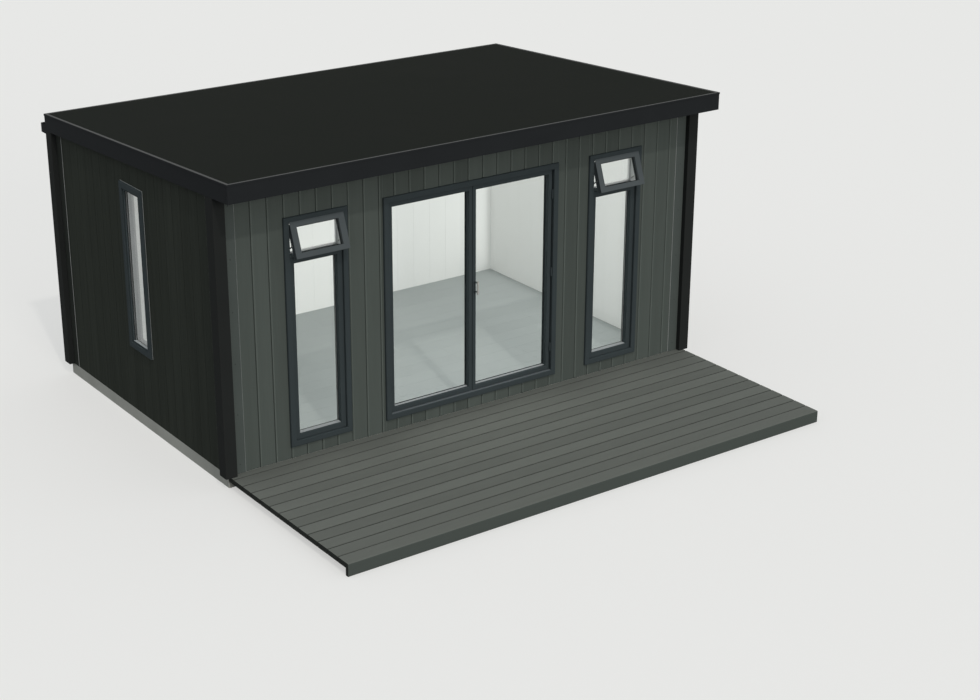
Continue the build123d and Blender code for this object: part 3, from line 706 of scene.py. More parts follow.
# %% Floor planks
PLANK_WIDTH = 0.190
PLANK_LENGTH = 1.80
PLANK_JOINT = 0.0006
PLANK_ARRIS = 0.0008
bm = bmesh.new()
dice = random.Random(41)
floor_place = lambda u, d, x: Vector((x, u, ROOM_HIGH.z - d))
rows = board_cuts(ROOM_LOW.y, ROOM_HIGH.y, ROOM_LOW.y + PLANK_WIDTH, PLANK_WIDTH)
for row, (low, high) in enumerate(zip(rows, rows[1:])):
    first = ROOM_LOW.x + (0.45 + 0.6 * (row % 3)) - PLANK_LENGTH * (row % 2) / 3
    ends = board_cuts(ROOM_LOW.x, ROOM_HIGH.x, first, PLANK_LENGTH)
    for x0, x1 in zip(ends, ends[1:]):
        add_board(bm, floor_place, low + PLANK_JOINT / 2, high - PLANK_JOINT / 2,
                  level(x0 + PLANK_JOINT / 2), level(x1 - PLANK_JOINT / 2),
                  ROOM_HIGH.z - ROOM_LOW.z, PLANK_ARRIS, PLANK_ARRIS, dice.random())
new_piece("floor_planks", bm, floor_board, "grey_floor", "floor_panel")
print("the floor has", len(rows) - 1, "rows of planks")

# %% [markdown]
# ## Mitred frames
# Windows, doors, gaskets and the roof's metal edging are all rings of four members cut on the
# mitre. A member's outline is given as points (share, offset, depth): the share is 0 at the ring's
# outer edge and 1 at its inner edge, so one outline fits stiles and rails of different widths. A
# hairline is left open at each mitre, as there is in real joinery.

# %% Mitred rings
MITRE_GAP = 0.0004


def add_ring(bm, place, low_u, high_u, low_z, high_z, widths, outline):
    """Four mitred members; widths are one for all, or those of left, right, bottom and top."""
    left, right, bottom, top = [[share * width + offset for share, offset, depth in outline]
                                for width in (widths if isinstance(widths, list) else [widths] * 4)]
    depths = [depth for share, offset, depth in outline]
    g = MITRE_GAP / 2
    west = [low_u + a for a in left]
    east = [high_u - a for a in right]
    south = [low_z + a for a in bottom]
    north = [high_z - a for a in top]
    for us, z_ends in ((west, (south, north)), (east, (south, north))):
        add_loft(bm, [[place(u, d, z + shift) for u, z, d in zip(us, zs, depths)]
                      for zs, shift in zip(z_ends, (g, -g))])
    for zs, u_ends in ((south, (west, east)), (north, (west, east))):
        add_loft(bm, [[place(u + shift, d, z) for u, z, d in zip(us, zs, depths)]
                      for us, shift in zip(u_ends, (g, -g))])


def member(front, back, outer=0.002, inner=0.002):
    """The outline of a member between two depths, with both of its front edges rounded."""
    return [
        (0, 0, back), (0, 0, front + outer), (0, 0.3 * outer, front + 0.3 * outer),
        (0, outer, front), (1, -inner, front), (1, -0.3 * inner, front + 0.3 * inner),
        (1, 0, front + inner), (1, 0, back),
    ]


def add_bar(bm, place, low_u, high_u, low_z, high_z, front, back, edge=0.0015):
    """A straight level bar with rounded front edges."""
    outline = [(low_z, back), (low_z, front + edge), (low_z + 0.3 * edge, front + 0.3 * edge),
               (low_z + edge, front), (high_z - edge, front),
               (high_z - 0.3 * edge, front + 0.3 * edge), (high_z, front + edge), (high_z, back)]
    add_loft(bm, [[place(u, d, z) for z, d in outline] for u in (low_u, high_u)])


def shifted(place, centre):
    """A wall's place, counted from the middle of one opening."""
    return lambda u, d, z: place(centre + u, d, z)


print("mitres are left open by", MITRE_GAP * 1000, "mm")

# %% [markdown]
# ## Windows
# A tall window is one outer frame that stands a little proud of the boards, with a top-hung sash
# over a fixed pane. Every depth below is counted from the face of the boards, and is negative
# where something stands proud of it. The sizes that the frame knows are read from it.

# %% Sizes of the windows
FRAME_WIDTH = 0.052
FRAME_FRONT = FRONT_WINDOWS[0][0].y + CLAD_Y
FRAME_BACK = FRONT_WINDOWS[0][1].y + CLAD_Y
FRAME_EDGE, INNER_EDGE = 0.009, 0.006  # how far the front's outer and inner edges are rounded
BEAD_WIDTH = 0.046
BEAD_FRONT, BEAD_BACK, BEAD_EDGE = 0.004, 0.074, 0.004
GLASS_BOXES = solid_boxes("front_window_glass")
GLASS_FRONT = GLASS_BOXES[0][0].y + CLAD_Y
GLASS_BACK = GLASS_BOXES[0][1].y + CLAD_Y
TRANSOM_LOW = GLASS_BOXES[0][1].z + BEAD_WIDTH
TRANSOM_HIGH = TRANSOM_LOW + 0.020
STOP_WIDTH, STOP_DEPTH = 0.015, 0.017
REBATE_SKIN, REBATE_START = 0.0012, 0.014
SKIN_EDGE = 0.0003  # the rounding of a thin skin
SILL_SKIN, SILL_RISE = 0.001, 0.0042
SILL_START, SIDE_SILL_START, DOOR_SILL_START = 0.012, 0.003, 0.024
GASKET = 0.0035
print("front frames are", round(1000 * (FRAME_BACK - FRAME_FRONT)), "mm deep, panes",
      round(1000 * (GLASS_BACK - GLASS_FRONT)), "mm thick")

# %% [markdown]
# ### Two colours, wedges and gaskets
# Such frames are often coated in two colours, dark outside and light inside, and the change lies
# at the pane. A member's outline gets one more corner there, and the faces behind it take the
# second finish. At the foot of each pane lies a thin wedge that sheds the rain, painted pale as a
# painted highlight where its upward face catches the light, and a black gasket holds each face of
# the pane.

# %% Helpers for windows
def two_tone(outline, colour_line):
    """The same outline with one more corner on each side, where the outside colour ends."""
    return [outline[0], (0, 0, colour_line), *outline[1:-1], (1, 0, colour_line), outline[-1]]


def colour_inside(piece, axis, face, colour_line):
    """Gives the second finish to a frame's faces behind the line where its outside colour ends."""
    for polygon in piece.data.polygons:
        polygon.material_index = int(face - abs(polygon.center[axis]) > colour_line + 0.001)


def add_sill(bm, place, half, foot, front, glass_face):
    """A wedge at the foot of a pane, which sheds rain off its gasket to the front; its pale coat
    is a painted highlight.
    """
    back = glass_face - SILL_SKIN / 2
    outline = [(foot, front), (foot + SILL_SKIN, front), (foot + SILL_RISE, back), (foot, back)]
    add_loft(bm, [[place(u, d, z) for z, d in outline] for u in (-half, half)])


def gasket(glass_face, side):
    """The outline of a gasket on one face of a pane; side is -1 outside and 1 inside."""
    return [(0, 0, glass_face), (0, 0, glass_face + side * 0.004),
            (1, -0.001, glass_face + side * 0.003), (1, 0, glass_face + side * 0.0005)]


def add_gaskets(bm, place, low_u, high_u, low_z, high_z, faces=(GLASS_FRONT, GLASS_BACK)):
    """A gasket on each face of a pane."""
    for face, side in zip(faces, (-1, 1)):
        add_ring(bm, place, low_u, high_u, low_z, high_z, GASKET, gasket(face, side))


def add_window(bm, place, half, low_z, high_z, bead_top, bead, inner_edge, faces, sill_front):
    """A frame that holds a pane: its ring, the bead ring, the wedge and the gaskets.

    bead is its width, its front and its edge; the halves of the opening and the pane are given
    back."""
    width, front, edge = bead
    inner = half - FRAME_WIDTH
    pane = inner - width
    foot = low_z + FRAME_WIDTH
    add_ring(bm, place, -half, half, low_z, high_z, FRAME_WIDTH,
             two_tone(member(FRAME_FRONT, FRAME_BACK, FRAME_EDGE, inner_edge), faces[0]))
    add_ring(bm, place, -inner, inner, foot, bead_top, width,
             two_tone(member(front, BEAD_BACK, 0.001, edge), faces[0]))
    add_sill(sills, place, pane, foot + width, sill_front, faces[0])
    add_gaskets(seals, place, -pane, pane, foot + width, bead_top - width, faces)
    return inner, pane


seals, sills = bmesh.new(), bmesh.new()
print("a wedge rises", SILL_RISE * 1000, "mm from its front edge to the pane")

# %% [markdown]
# ### Front windows
# Below, a bead ring set back inside the frame holds the fixed pane under a slim transom. Above,
# the sash has swung out of its rebate: a light stop runs round the back of the opening, and thin
# pale skins line the jambs in front of it, where the sash would lie when it is shut.

# %% Front windows
bm, stops, rebates = bmesh.new(), bmesh.new(), bmesh.new()
for low, high in FRONT_WINDOWS:
    place = shifted(front_place, (low.x + high.x) / 2)
    head = high.z - FRAME_WIDTH
    inner, pane = add_window(bm, place, (high.x - low.x) / 2, low.z, high.z, TRANSOM_LOW,
                             (BEAD_WIDTH, BEAD_FRONT, BEAD_EDGE), INNER_EDGE,
                             (GLASS_FRONT, GLASS_BACK), BEAD_FRONT + SILL_START)
    add_bar(bm, place, -inner, inner, TRANSOM_LOW, TRANSOM_HIGH, FRAME_FRONT, FRAME_BACK)
    add_ring(stops, place, -inner, inner, TRANSOM_HIGH, head, STOP_WIDTH,
             member(FRAME_BACK - STOP_DEPTH, FRAME_BACK, 0.001, 0.001))
    for side in (-inner, inner - REBATE_SKIN):
        add_bar(rebates, place, side, side + REBATE_SKIN, TRANSOM_HIGH, head,
                FRAME_FRONT + REBATE_START, FRAME_BACK - STOP_DEPTH, SKIN_EDGE)
made = new_piece("front_window_frames_mitred", bm, [frame_coat, inner_coat], "grey_frame",
                 "front_window_frames")
colour_inside(made, 1, CLAD_Y, GLASS_FRONT)
new_piece("window_stops", stops, inner_white, "grey_frame")
new_piece("sash_rebates", rebates, inner_white, "grey_frame")
print("front panes are", round(2000 * pane), "mm wide")

# %% [markdown]
# ### Side windows
# Each side wall has one narrow window with a single fixed pane. The two are the same, so one loop
# builds both, each with the place of its own wall. Their wedges go into the same piece as those of
# the front windows.

# %% Side windows
SIDE_PLACES = [shifted(left_place, -(SIDE_WINDOWS[0][0].y + SIDE_WINDOWS[0][1].y) / 2),
               shifted(right_place, (SIDE_WINDOWS[1][0].y + SIDE_WINDOWS[1][1].y) / 2)]
SIDE_GLASS = [CLAD_X + corner.x for corner in solid_boxes("side_window_glass")[0]]
SIDE_BEAD_FRONT = FRAME_FRONT + 0.012
SIDE_BEAD_WIDTH = 0.016
SIDE_BEAD_EDGE, SIDE_INNER_EDGE = 0.003, 0.002
bm = bmesh.new()
for place, (low, high) in zip(SIDE_PLACES, SIDE_WINDOWS):
    pane = add_window(bm, place, (high.y - low.y) / 2, low.z, high.z, high.z - FRAME_WIDTH,
                      (SIDE_BEAD_WIDTH, SIDE_BEAD_FRONT, SIDE_BEAD_EDGE), SIDE_INNER_EDGE,
                      SIDE_GLASS, SIDE_BEAD_FRONT + SIDE_SILL_START)[1]
made = new_piece("side_window_frames_mitred", bm, [frame_coat, inner_coat], "grey_frame",
                 "side_window_frames")
colour_inside(made, 0, CLAD_X, SIDE_GLASS[0])
# The wedges' pale coat is a painted highlight.
new_piece("glazing_sills", sills, sill_highlight_coat, "grey_frame")
print("side panes are", round(2000 * pane), "mm wide")

# %% [markdown]
# ### Reveals
# Between a frame and the lining, the thickness of the wall shows as a reveal. It is boxed in with
# thin white boards that run from the back of the frame to the face of the lining.

# %% Reveals
REVEAL = 0.008
REVEAL_END = CLAD_Y - ROOM_Y
bm = bmesh.new()
door_back = DOOR[1].y + CLAD_Y
reveals = [(shifted(front_place, (hole[0] + hole[1]) / 2), hole, back)
           for hole, back in zip(FRONT_HOLES, (FRAME_BACK, door_back, FRAME_BACK))]
reveals += [(place, SIDE_HOLES[0], FRAME_BACK) for place in SIDE_PLACES]
for place, (low, high, bottom, top), back in reveals:
    half = (high - low) / 2
    add_ring(bm, place, -half, half, bottom, top, REVEAL,
             [(0, 0, back), (0, 0, REVEAL_END), (1, -0.0005, REVEAL_END),
              (1, 0, REVEAL_END - 0.0005), (1, 0, back)])
new_piece("window_reveals", bm, ceiling_board, "white_lining")
print(len(reveals), "openings are boxed in with reveals")

# %% [markdown]
# ### How a sash opens
# A sash is hinged at its head and pushed open at its foot. It is drawn shut, and then every point
# is turned about the top outer edge of its lip, so that it opens by the same angle as the plain
# one in the frame. The turn is one matrix: move the edge to the origin, turn, and move it back.

# %% Sizes and turn of the sashes
SASH_OPEN = radians(20)
SASH_HINGE_Z = solid_boxes("window_sashes")[0][1].z
SASH_HEIGHT = 0.278
SASH_DEPTH = 0.062
SASH_STILE, SASH_RAIL, SASH_HEAD_RAIL = 0.050, 0.042, 0.026
SASH_LIP, SASH_HEAD_LIP, SASH_FOOT_LIP = 0.007, 0.020, 0.004
SASH_LIP_DEPTH = 0.005
SASH_FACE = FRAME_FRONT - 0.0005 - SASH_LIP_DEPTH
SASH_GLASS, PANE_DEPTH = 0.028, 0.016
SASH_BEAD = 0.012


def opened(place):
    """A place on the closed sash, turned with it about the top outer edge of its lip."""
    pivot = Vector((0, SASH_FACE, SASH_HINGE_Z))
    turn = Matrix.Rotation(-SASH_OPEN, 4, "X")
    turn = Matrix.Translation(pivot) @ turn @ Matrix.Translation(-pivot)
    return lambda u, d, z: place(*(turn @ Vector((u, d, z))))


shut = Vector((0, SASH_FACE, SASH_HINGE_Z - SASH_HEIGHT))
swung = opened(lambda *point: Vector(point))(*shut)
print("a sash's foot swings out by", round(1000 * (shut - swung).length), "mm")

# %% [markdown]
# ### The open sashes
# Three rings make the sash. A broad, thin one is the lip that closes over the face of the frame,
# and behind it a deeper one takes the pane. The last one is narrower, which leaves room for the
# light beads that hold the pane from inside.

# %% Sashes
lip_back = SASH_FACE + SASH_LIP_DEPTH
glass_line = SASH_FACE + SASH_GLASS
bead_line = glass_line + PANE_DEPTH
sash_back = SASH_FACE + SASH_DEPTH
top = SASH_HINGE_Z - SASH_HEAD_LIP
foot = top - SASH_HEIGHT
widths = [SASH_STILE, SASH_STILE, SASH_RAIL, SASH_HEAD_RAIL]
lips = [SASH_LIP, SASH_LIP, SASH_FOOT_LIP, SASH_HEAD_LIP]
bm, beads = bmesh.new(), bmesh.new()
for low, high in solid_boxes("window_sashes"):
    place = opened(shifted(front_place, (low.x + high.x) / 2))
    lip_half = (high.x - low.x) / 2
    half = lip_half - SASH_LIP
    pane = half - SASH_STILE
    add_ring(bm, place, -lip_half, lip_half, foot - SASH_FOOT_LIP, SASH_HINGE_Z,
             [width + lip for width, lip in zip(widths, lips)],
             member(SASH_FACE, lip_back, 0.002, 0.003))
    add_ring(bm, place, -half, half, foot, top, widths, member(lip_back, bead_line, 0.0005, 0.0005))
    add_ring(bm, place, -half, half, foot, top, [width - SASH_BEAD for width in widths],
             member(bead_line, sash_back, 0.0005, 0.0005))
    add_ring(beads, place, -pane - SASH_BEAD, pane + SASH_BEAD, foot + SASH_RAIL - SASH_BEAD,
             top - SASH_HEAD_RAIL + SASH_BEAD, SASH_BEAD,
             member(bead_line, sash_back - 0.001, 0.0005, 0.003))
    add_gaskets(seals, place, -pane, pane, foot + SASH_RAIL, top - SASH_HEAD_RAIL,
                (glass_line, bead_line))
# The sashes take the paler coat, painted light for their tilt towards the sky.
new_piece("window_sashes_mitred", bm, sky_lit_sash_coat, "grey_frame", "window_sashes")
new_piece("sash_beads", beads, inner_white, "grey_frame")
print("windows:", len(FRONT_WINDOWS), "in front,", len(SIDE_WINDOWS), "at the sides")

# %% [markdown]
# ## Doors
# Two glazed leaves open outwards, each with slim stiles and rails. They close against a stop that
# carries a black compression seal. The seal fills the gap that is there to let the doors move,
# which is why a real closed door shows a black line and never daylight. Under the leaves, a metal
# threshold covers the foot of the frame, painted pale as a painted highlight where its top catches
# the light.

# %% Door frame, threshold and seal
DOOR_LOW, DOOR_HIGH = DOOR
DOOR_BACK = DOOR_HIGH.y + CLAD_Y
DOOR_FOOT, DOOR_HEAD = DOOR_LOW.z + FRAME_WIDTH, DOOR_HIGH.z - FRAME_WIDTH
DOOR_HALF = DOOR_HIGH.x - FRAME_WIDTH
LEAF_FRONT, LEAF_BACK = [corner.y + CLAD_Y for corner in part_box("left_door_leaf")]
STOP_FACE = DOOR_BACK - STOP_DEPTH
SEAL_WIDTH = 0.009
THRESHOLD_REACH = 0.03  # how far it runs in under the leaves
SEAL_OUTLINE = [(0, 0, STOP_FACE), (0, 0, STOP_FACE - 0.0045), (0.5, 0, STOP_FACE - 0.005),
                (1, 0, STOP_FACE - 0.003), (1, 0, STOP_FACE)]

bm = bmesh.new()
add_ring(bm, front_place, DOOR_LOW.x, DOOR_HIGH.x, DOOR_LOW.z, DOOR_HIGH.z, FRAME_WIDTH,
         member(FRAME_FRONT, DOOR_BACK, FRAME_EDGE, INNER_EDGE))
add_ring(bm, front_place, -DOOR_HALF, DOOR_HALF, DOOR_FOOT, DOOR_HEAD, STOP_WIDTH,
         member(STOP_FACE, DOOR_BACK, 0.001, 0.001))
new_piece("door_frame_mitred", bm, frame_coat, "grey_frame", "door_frame")
bm = bmesh.new()
add_bar(bm, front_place, -DOOR_HALF, DOOR_HALF, DOOR_FOOT, DOOR_FOOT + SILL_SKIN,
        FRAME_FRONT + INNER_EDGE, LEAF_FRONT + THRESHOLD_REACH, SKIN_EDGE)
# The threshold's pale coat is a painted highlight.
new_piece("door_threshold", bm, threshold_highlight_coat, "grey_frame")
add_ring(seals, front_place, -DOOR_HALF, DOOR_HALF, DOOR_FOOT, DOOR_HEAD, SEAL_WIDTH, SEAL_OUTLINE)
new_piece("glazing_and_door_seals", seals, seal_rubber, "grey_frame")
print("the doorway is", round(2000 * DOOR_HALF), "mm wide inside its frame")

# %% [markdown]
# ### The leaves
# Each leaf and all that is fixed to it rides on its own body, so that it swings as one: stiles and
# rails, gaskets, a soft blade and a thin strip on the meeting edge, and a pale wedge at the foot
# of its pane. The blade reaches into the gap between the leaves without touching the other one.

# %% Door leaves
HINGE_STILE, MEETING_STILE, LEAF_RAIL = 0.036, 0.031, 0.040
BLADE = 0.0035
BLADE_DEPTHS = (0.030, 0.032, 0.042, 0.044)  # root, tip, tip and root, from the front
MEETING_STRIP = 0.004
STRIP_FRONT, STRIP_BACK = LEAF_FRONT + 0.001, LEAF_FRONT + 0.009
for body, node, side in (("left_leaf", "left_door", -1), ("right_leaf", "right_door", 1)):
    low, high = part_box(node + "_leaf")
    stiles = [HINGE_STILE, MEETING_STILE] if side < 0 else [MEETING_STILE, HINGE_STILE]
    pane_low, pane_high = low.x + stiles[0], high.x - stiles[1]
    bm, seals = bmesh.new(), bmesh.new()
    add_ring(bm, front_place, low.x, high.x, low.z, high.z, [*stiles, LEAF_RAIL, LEAF_RAIL],
             member(LEAF_FRONT, LEAF_BACK, 0.002, 0.005))
    new_piece(node + "_leaf_mitred", bm, frame_coat, "grey_frame", node + "_leaf", body=body)
    add_gaskets(seals, front_place, pane_low, pane_high, low.z + LEAF_RAIL, high.z - LEAF_RAIL)
    edge = high.x if side < 0 else low.x
    tip = edge - side * BLADE
    outline = list(zip((edge, tip, tip, edge), BLADE_DEPTHS))
    add_loft(seals, [[front_place(u, d, z) for u, d in outline]
                     for z in (low.z + 0.002, high.z - 0.002)])
    new_piece(node + "_seals", seals, seal_rubber, "grey_frame", body=body)
    bm = bmesh.new()
    add_bar(bm, front_place, *sorted((edge, edge - side * MEETING_STRIP)), low.z + 0.001,
            high.z - 0.001, STRIP_FRONT, STRIP_BACK)
    new_piece(node + "_meeting_strip", bm, frame_coat, "grey_frame", body=body)
    bm = bmesh.new()
    middle = (low.x + stiles[0] + high.x - stiles[1]) / 2
    add_sill(bm, shifted(front_place, middle), pane_high - middle, low.z + LEAF_RAIL,
             LEAF_FRONT + DOOR_SILL_START, GLASS_FRONT)
    # The wedge's pale coat is a painted highlight.
    new_piece(node + "_glazing_sill", bm, sill_highlight_coat, "grey_frame", body=body)
    print(node, "leaf is", round(1000 * (high.x - low.x)), "mm wide")

# %% [markdown]
# ### Hinges and stays
# The barrels of the hinges and the stays of the open sashes have the right shape in the frame, and
# they get rounded edges here. Each hinge has knuckles on both sides, so the fixed ones ride on the
# building and the others on their leaf.

# %% Hinges and stays
HINGES = {"frame_hinges": "building", "left_door_hinges": "left_leaf",
          "right_door_hinges": "right_leaf"}
for node, body in HINGES.items():
    rounded(node, 0.0005, frame_coat, "hinge_metal", 1, body)
rounded("window_stays", 0.0006, spacer_metal, "satin_steel", 1)

# %% [markdown]
# ## Turned parts
# A pull, its posts, its roses and the screws are all turned on a lathe, so one function spins an
# outline of radius and distance round an axis. A radius of 0 is a single point, which closes an
# end with a fan of triangles.

# %% Helpers for turned parts
def add_turned(bm, start, direction, outline, sides=24, finish=0):
    """Spins an outline of (radius, distance) round a line; a radius of 0 closes an end."""
    axis = Vector(direction).normalized()
    across = axis.orthogonal().normalized()
    beside = axis.cross(across)
    turns = [2 * pi * i / sides for i in range(sides)]
    loops = []
    for radius, distance in outline:
        centre = Vector(start) + axis * distance
        spokes = [cos(t) * across + sin(t) * beside for t in turns] if radius else [across * 0]
        loops.append([bm.verts.new(centre + radius * spoke) for spoke in spokes])
    for a, b in zip(loops, loops[1:]):
        for i in range(sides):
            j = (i + 1) % sides
            around = [a[i % len(a)], a[j % len(a)], b[j % len(b)], b[i % len(b)]]
            corners = [v for k, v in enumerate(around) if v not in around[:k]]
            bm.faces.new(corners).material_index = finish
    for loop in (loops[0], loops[-1]):
        if len(loop) > 1:
            bm.faces.new(loop).material_index = finish


def domed(radius, length, edge):
    """The outline of a round bar whose ends are rounded off."""
    steps = [(radius - edge + edge * sin(radians(a)), edge - edge * cos(radians(a)))
             for a in (0, 30, 60, 90)]
    return [(0, 0)] + steps + [(r, length - d) for r, d in reversed(steps)] + [(0, length)]


print("a domed bar has an outline of", len(domed(1.0, 4.0, 0.5)), "points")

# %% [markdown]
# ## Door pulls
# A pull is a round steel bar with domed ends on two short posts, and each post stands on a small
# rose that hides its fixing. There is one outside and one inside, both on the right leaf, and the
# frame says where each bar begins and ends.

# %% Pulls
PULL_RADIUS, PULL_DOME = 0.009, 0.004
POST_RADIUS, POST_SPACING = 0.006, 0.084
ROSE_RADIUS, ROSE_DEPTH, ROSE_EDGE = 0.011, 0.004, 0.001
ROSE = [(0, 0), (ROSE_RADIUS, 0), (ROSE_RADIUS, ROSE_DEPTH - ROSE_EDGE),
        (ROSE_RADIUS - ROSE_EDGE, ROSE_DEPTH), (0, ROSE_DEPTH)]
bm = bmesh.new()
pulls = solid_boxes("door_handles")
for low, high in pulls:
    x, middle = (low.x + high.x) / 2, (low.z + high.z) / 2
    outside = low.y < -CLAD_Y
    out = -1 if outside else 1
    face = (LEAF_FRONT if outside else LEAF_BACK) - CLAD_Y
    bar_y = low.y + PULL_RADIUS if outside else high.y - PULL_RADIUS
    reach = abs(bar_y - face)
    post = [(0, 0), (POST_RADIUS, 0), (POST_RADIUS, reach), (0, reach)]
    add_turned(bm, (x, bar_y, low.z), (0, 0, 1), domed(PULL_RADIUS, high.z - low.z, PULL_DOME))
    for z in (middle - POST_SPACING / 2, middle + POST_SPACING / 2):
        for outline in (post, ROSE):
            add_turned(bm, (x, face, z), (0, out, 0), outline, finish=1)
new_piece("door_pulls", bm, [satin_steel, frame_coat], "satin_steel", "door_handles",
          body="right_leaf", smooth=True)
print(len(pulls), "pulls of", round(1000 * (high.z - low.z)), "mm")

# %% [markdown]
# ## Glass
# The panes are the frame's own. Clear glass in a window is nearly all straight-through light with
# a reflection that grows towards grazing angles, so the shader mixes transparency with a sharp
# gloss by how much a face is seen aslant. The Fresnel node is not used, because on the way out of
# a pane it takes the light to be trapped inside the glass, and the room would turn black.

# %% Glass
GLASS_TINT = (0.978, 0.984, 0.982)
HEAD_ON = 0.02  # the share of light mirrored by a face seen squarely


def bare_tree(owner):
    """The emptied node tree of a material or a world."""
    owner.use_nodes = True
    owner.node_tree.nodes.clear()
    return owner.node_tree


pane_glass = bpy.data.materials.new("pane_glass")
tree = bare_tree(pane_glass)
clear = add_node(tree, "ShaderNodeBsdfTransparent", {"Color": (*GLASS_TINT, 1.0)})
gloss = add_node(tree, "ShaderNodeBsdfGlossy", {"Roughness": 0.0})
slant = add_node(tree, "ShaderNodeLayerWeight", {"Blend": 0.5}).outputs["Facing"]
slant = add_node(tree, "ShaderNodeMath", {0: slant, 1: 5.0}, operation="POWER").outputs[0]
share = add_node(tree, "ShaderNodeMath", {0: slant, 1: 1 - HEAD_ON, 2: HEAD_ON},
                 operation="MULTIPLY_ADD").outputs[0]
mix = add_node(tree, "ShaderNodeMixShader", {0: share, 1: clear.outputs[0], 2: gloss.outputs[0]})
add_node(tree, "ShaderNodeOutputMaterial", {"Surface": mix.outputs[0]})
give_finish(pane_glass, "front_window_glass", "side_window_glass", "sash_glass",
            "left_door_glass", "right_door_glass")
print("a pane seen squarely mirrors", HEAD_ON, "of the light")

# %% [markdown]
# ## Posts and fascias
# Folded and coated metal has small, even radii at its edges, and they carry the thin highlights
# that make it look like metal. The posts, the fascias and the soffit under the front of the roof
# are the frame's own shapes with that radius added.

# %% Posts and fascias
rounded("corner_posts", 0.003, post_coat, "black_post")
for side in ("front", "rear", "left", "right"):
    rounded(side + "_fascia", 0.0015, black_coat, "black_metal")
rounded("front_soffit", 0.001, black_coat, "black_metal", 1)

# %% [markdown]
# ## Corner flashings
# A thin folded strip covers the end of each row of boards, where it meets a corner post. The
# strips take the colour of the wall they lie on, and each is held by a row of small pan-head
# screws. Two short questions are asked of every strip: which way its width runs, and which way is
# out of the wall.

# %% Flashings and screws
THIN = 0.01  # a strip that is thinner than this along x lies on a side wall
SCREW_SPACING = 0.40
SCREW_FOOT, SCREW_HEAD = 0.08, 0.12  # from the strip's ends to its first and last screws
SCREW = [(0, -0.001), (0.0040, -0.001), (0.0036, 0.0008), (0.0022, 0.0016), (0, 0.0019)]
FLASHINGS = solid_boxes("corner_flashings")


def strip_sense(low, high):
    """The axis that a strip's width runs along, and the sign that leads out of its wall."""
    along = int(high.x - low.x < THIN)
    return along, 1 if low[1 - along] + high[1 - along] > 0 else -1


made = rounded("corner_flashings", 0.0006, [flashing_coat, dark_flashing_coat], "grey_flashing", 1)
for face in made.data.polygons:
    face.material_index = int(abs(face.center.x) > CLAD_X - 0.0003)

bm = bmesh.new()
for low, high in FLASHINGS:
    along, out = strip_sense(low, high)
    direction = Vector((0, 0, 0))
    direction[1 - along] = out
    point = (low + high) / 2
    point[1 - along] = (high if out > 0 else low)[1 - along]
    count = int((high.z - low.z - 2 * SCREW_FOOT) / SCREW_SPACING)
    for i in range(count + 1):
        point.z = low.z + SCREW_FOOT + (high.z - low.z - SCREW_FOOT - SCREW_HEAD) * i / count
        add_turned(bm, point, direction, SCREW, 12)
new_piece("flashing_screws", bm, black_coat, "grey_flashing", smooth=True)
print(len(FLASHINGS), "flashings with", count + 1, "screws in the last one")

# %% [markdown]
# ## Sealant
# A pale bead of sealant closes the free edge of every flashing and runs round the side windows. It
# is drawn as the low, rounded hump that a wet finger leaves.

# %% Sealant
BEAD = 0.0028
bm = bmesh.new()
low, high, bottom, top = SIDE_HOLES[0]
half = (high - low) / 2 + BEAD
for place in SIDE_PLACES:
    add_ring(bm, place, -half, half, bottom - BEAD, top + BEAD, BEAD,
             [(0, 0, 0), (0.2, 0, -0.4 * BEAD), (0.7, 0, -0.85 * BEAD), (1, 0, -0.9 * BEAD),
              (1, 0, 0)])
outline = [(0, 0), (0, 0.9 * BEAD), (0.3 * BEAD, 0.85 * BEAD), (0.8 * BEAD, 0.4 * BEAD), (BEAD, 0)]
for low, high in FLASHINGS:
    along, out = strip_sense(low, high)
    inwards = -1 if low[along] + high[along] > 0 else 1
    edge = (high if inwards > 0 else low)[along]
    wall = (low if out > 0 else high)[1 - along]
    rings = []
    for z in (low.z + 0.002, high.z - 0.012):
        ring = []
        for across, rise in outline:
            point = Vector((0, 0, z))
            point[along] = edge + inwards * across
            point[1 - along] = wall + out * rise
            ring.append(point)
        rings.append(ring)
    add_loft(bm, rings)
new_piece("sealant_beads", bm, sealant, "grey_flashing")
print("sealant:", len(SIDE_PLACES), "rings and", len(FLASHINGS), "lines")

# %% [markdown]
# ## Roof
# The roof is one sheet of rubber with a slight ripple where it was rolled out and dressed down,
# drawn as a fine grid that only ever dips below the true surface. Four sine waves of unlike
# lengths are added up, so the ripple never shows a pattern.

# %% Roof sheet
RIPPLE = 0.0022
RIPPLE_SHARES = (0.45, 0.2, 0.2, 0.15)
SURFACE = 0.0002  # how far the sheet stays below the frame's
MEMBRANE = 0.006
COLUMNS, ROWS = 150, 100
roof_low, roof_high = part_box("roof_membrane")


def ripple(x, y):
    """How far the sheet dips at a point, from 0 to 1."""
    waves = (sin(2.1 * x + 0.7) * sin(2.7 * y + 0.4), sin(5.3 * x - 3.1 * y + 1.2),
             sin(3.3 * y + 1.9 * x), sin(11.0 * x + 4.0 * y) * sin(7.0 * y))
    return 0.5 + 0.5 * sum(wave * share for wave, share in zip(waves, RIPPLE_SHARES))


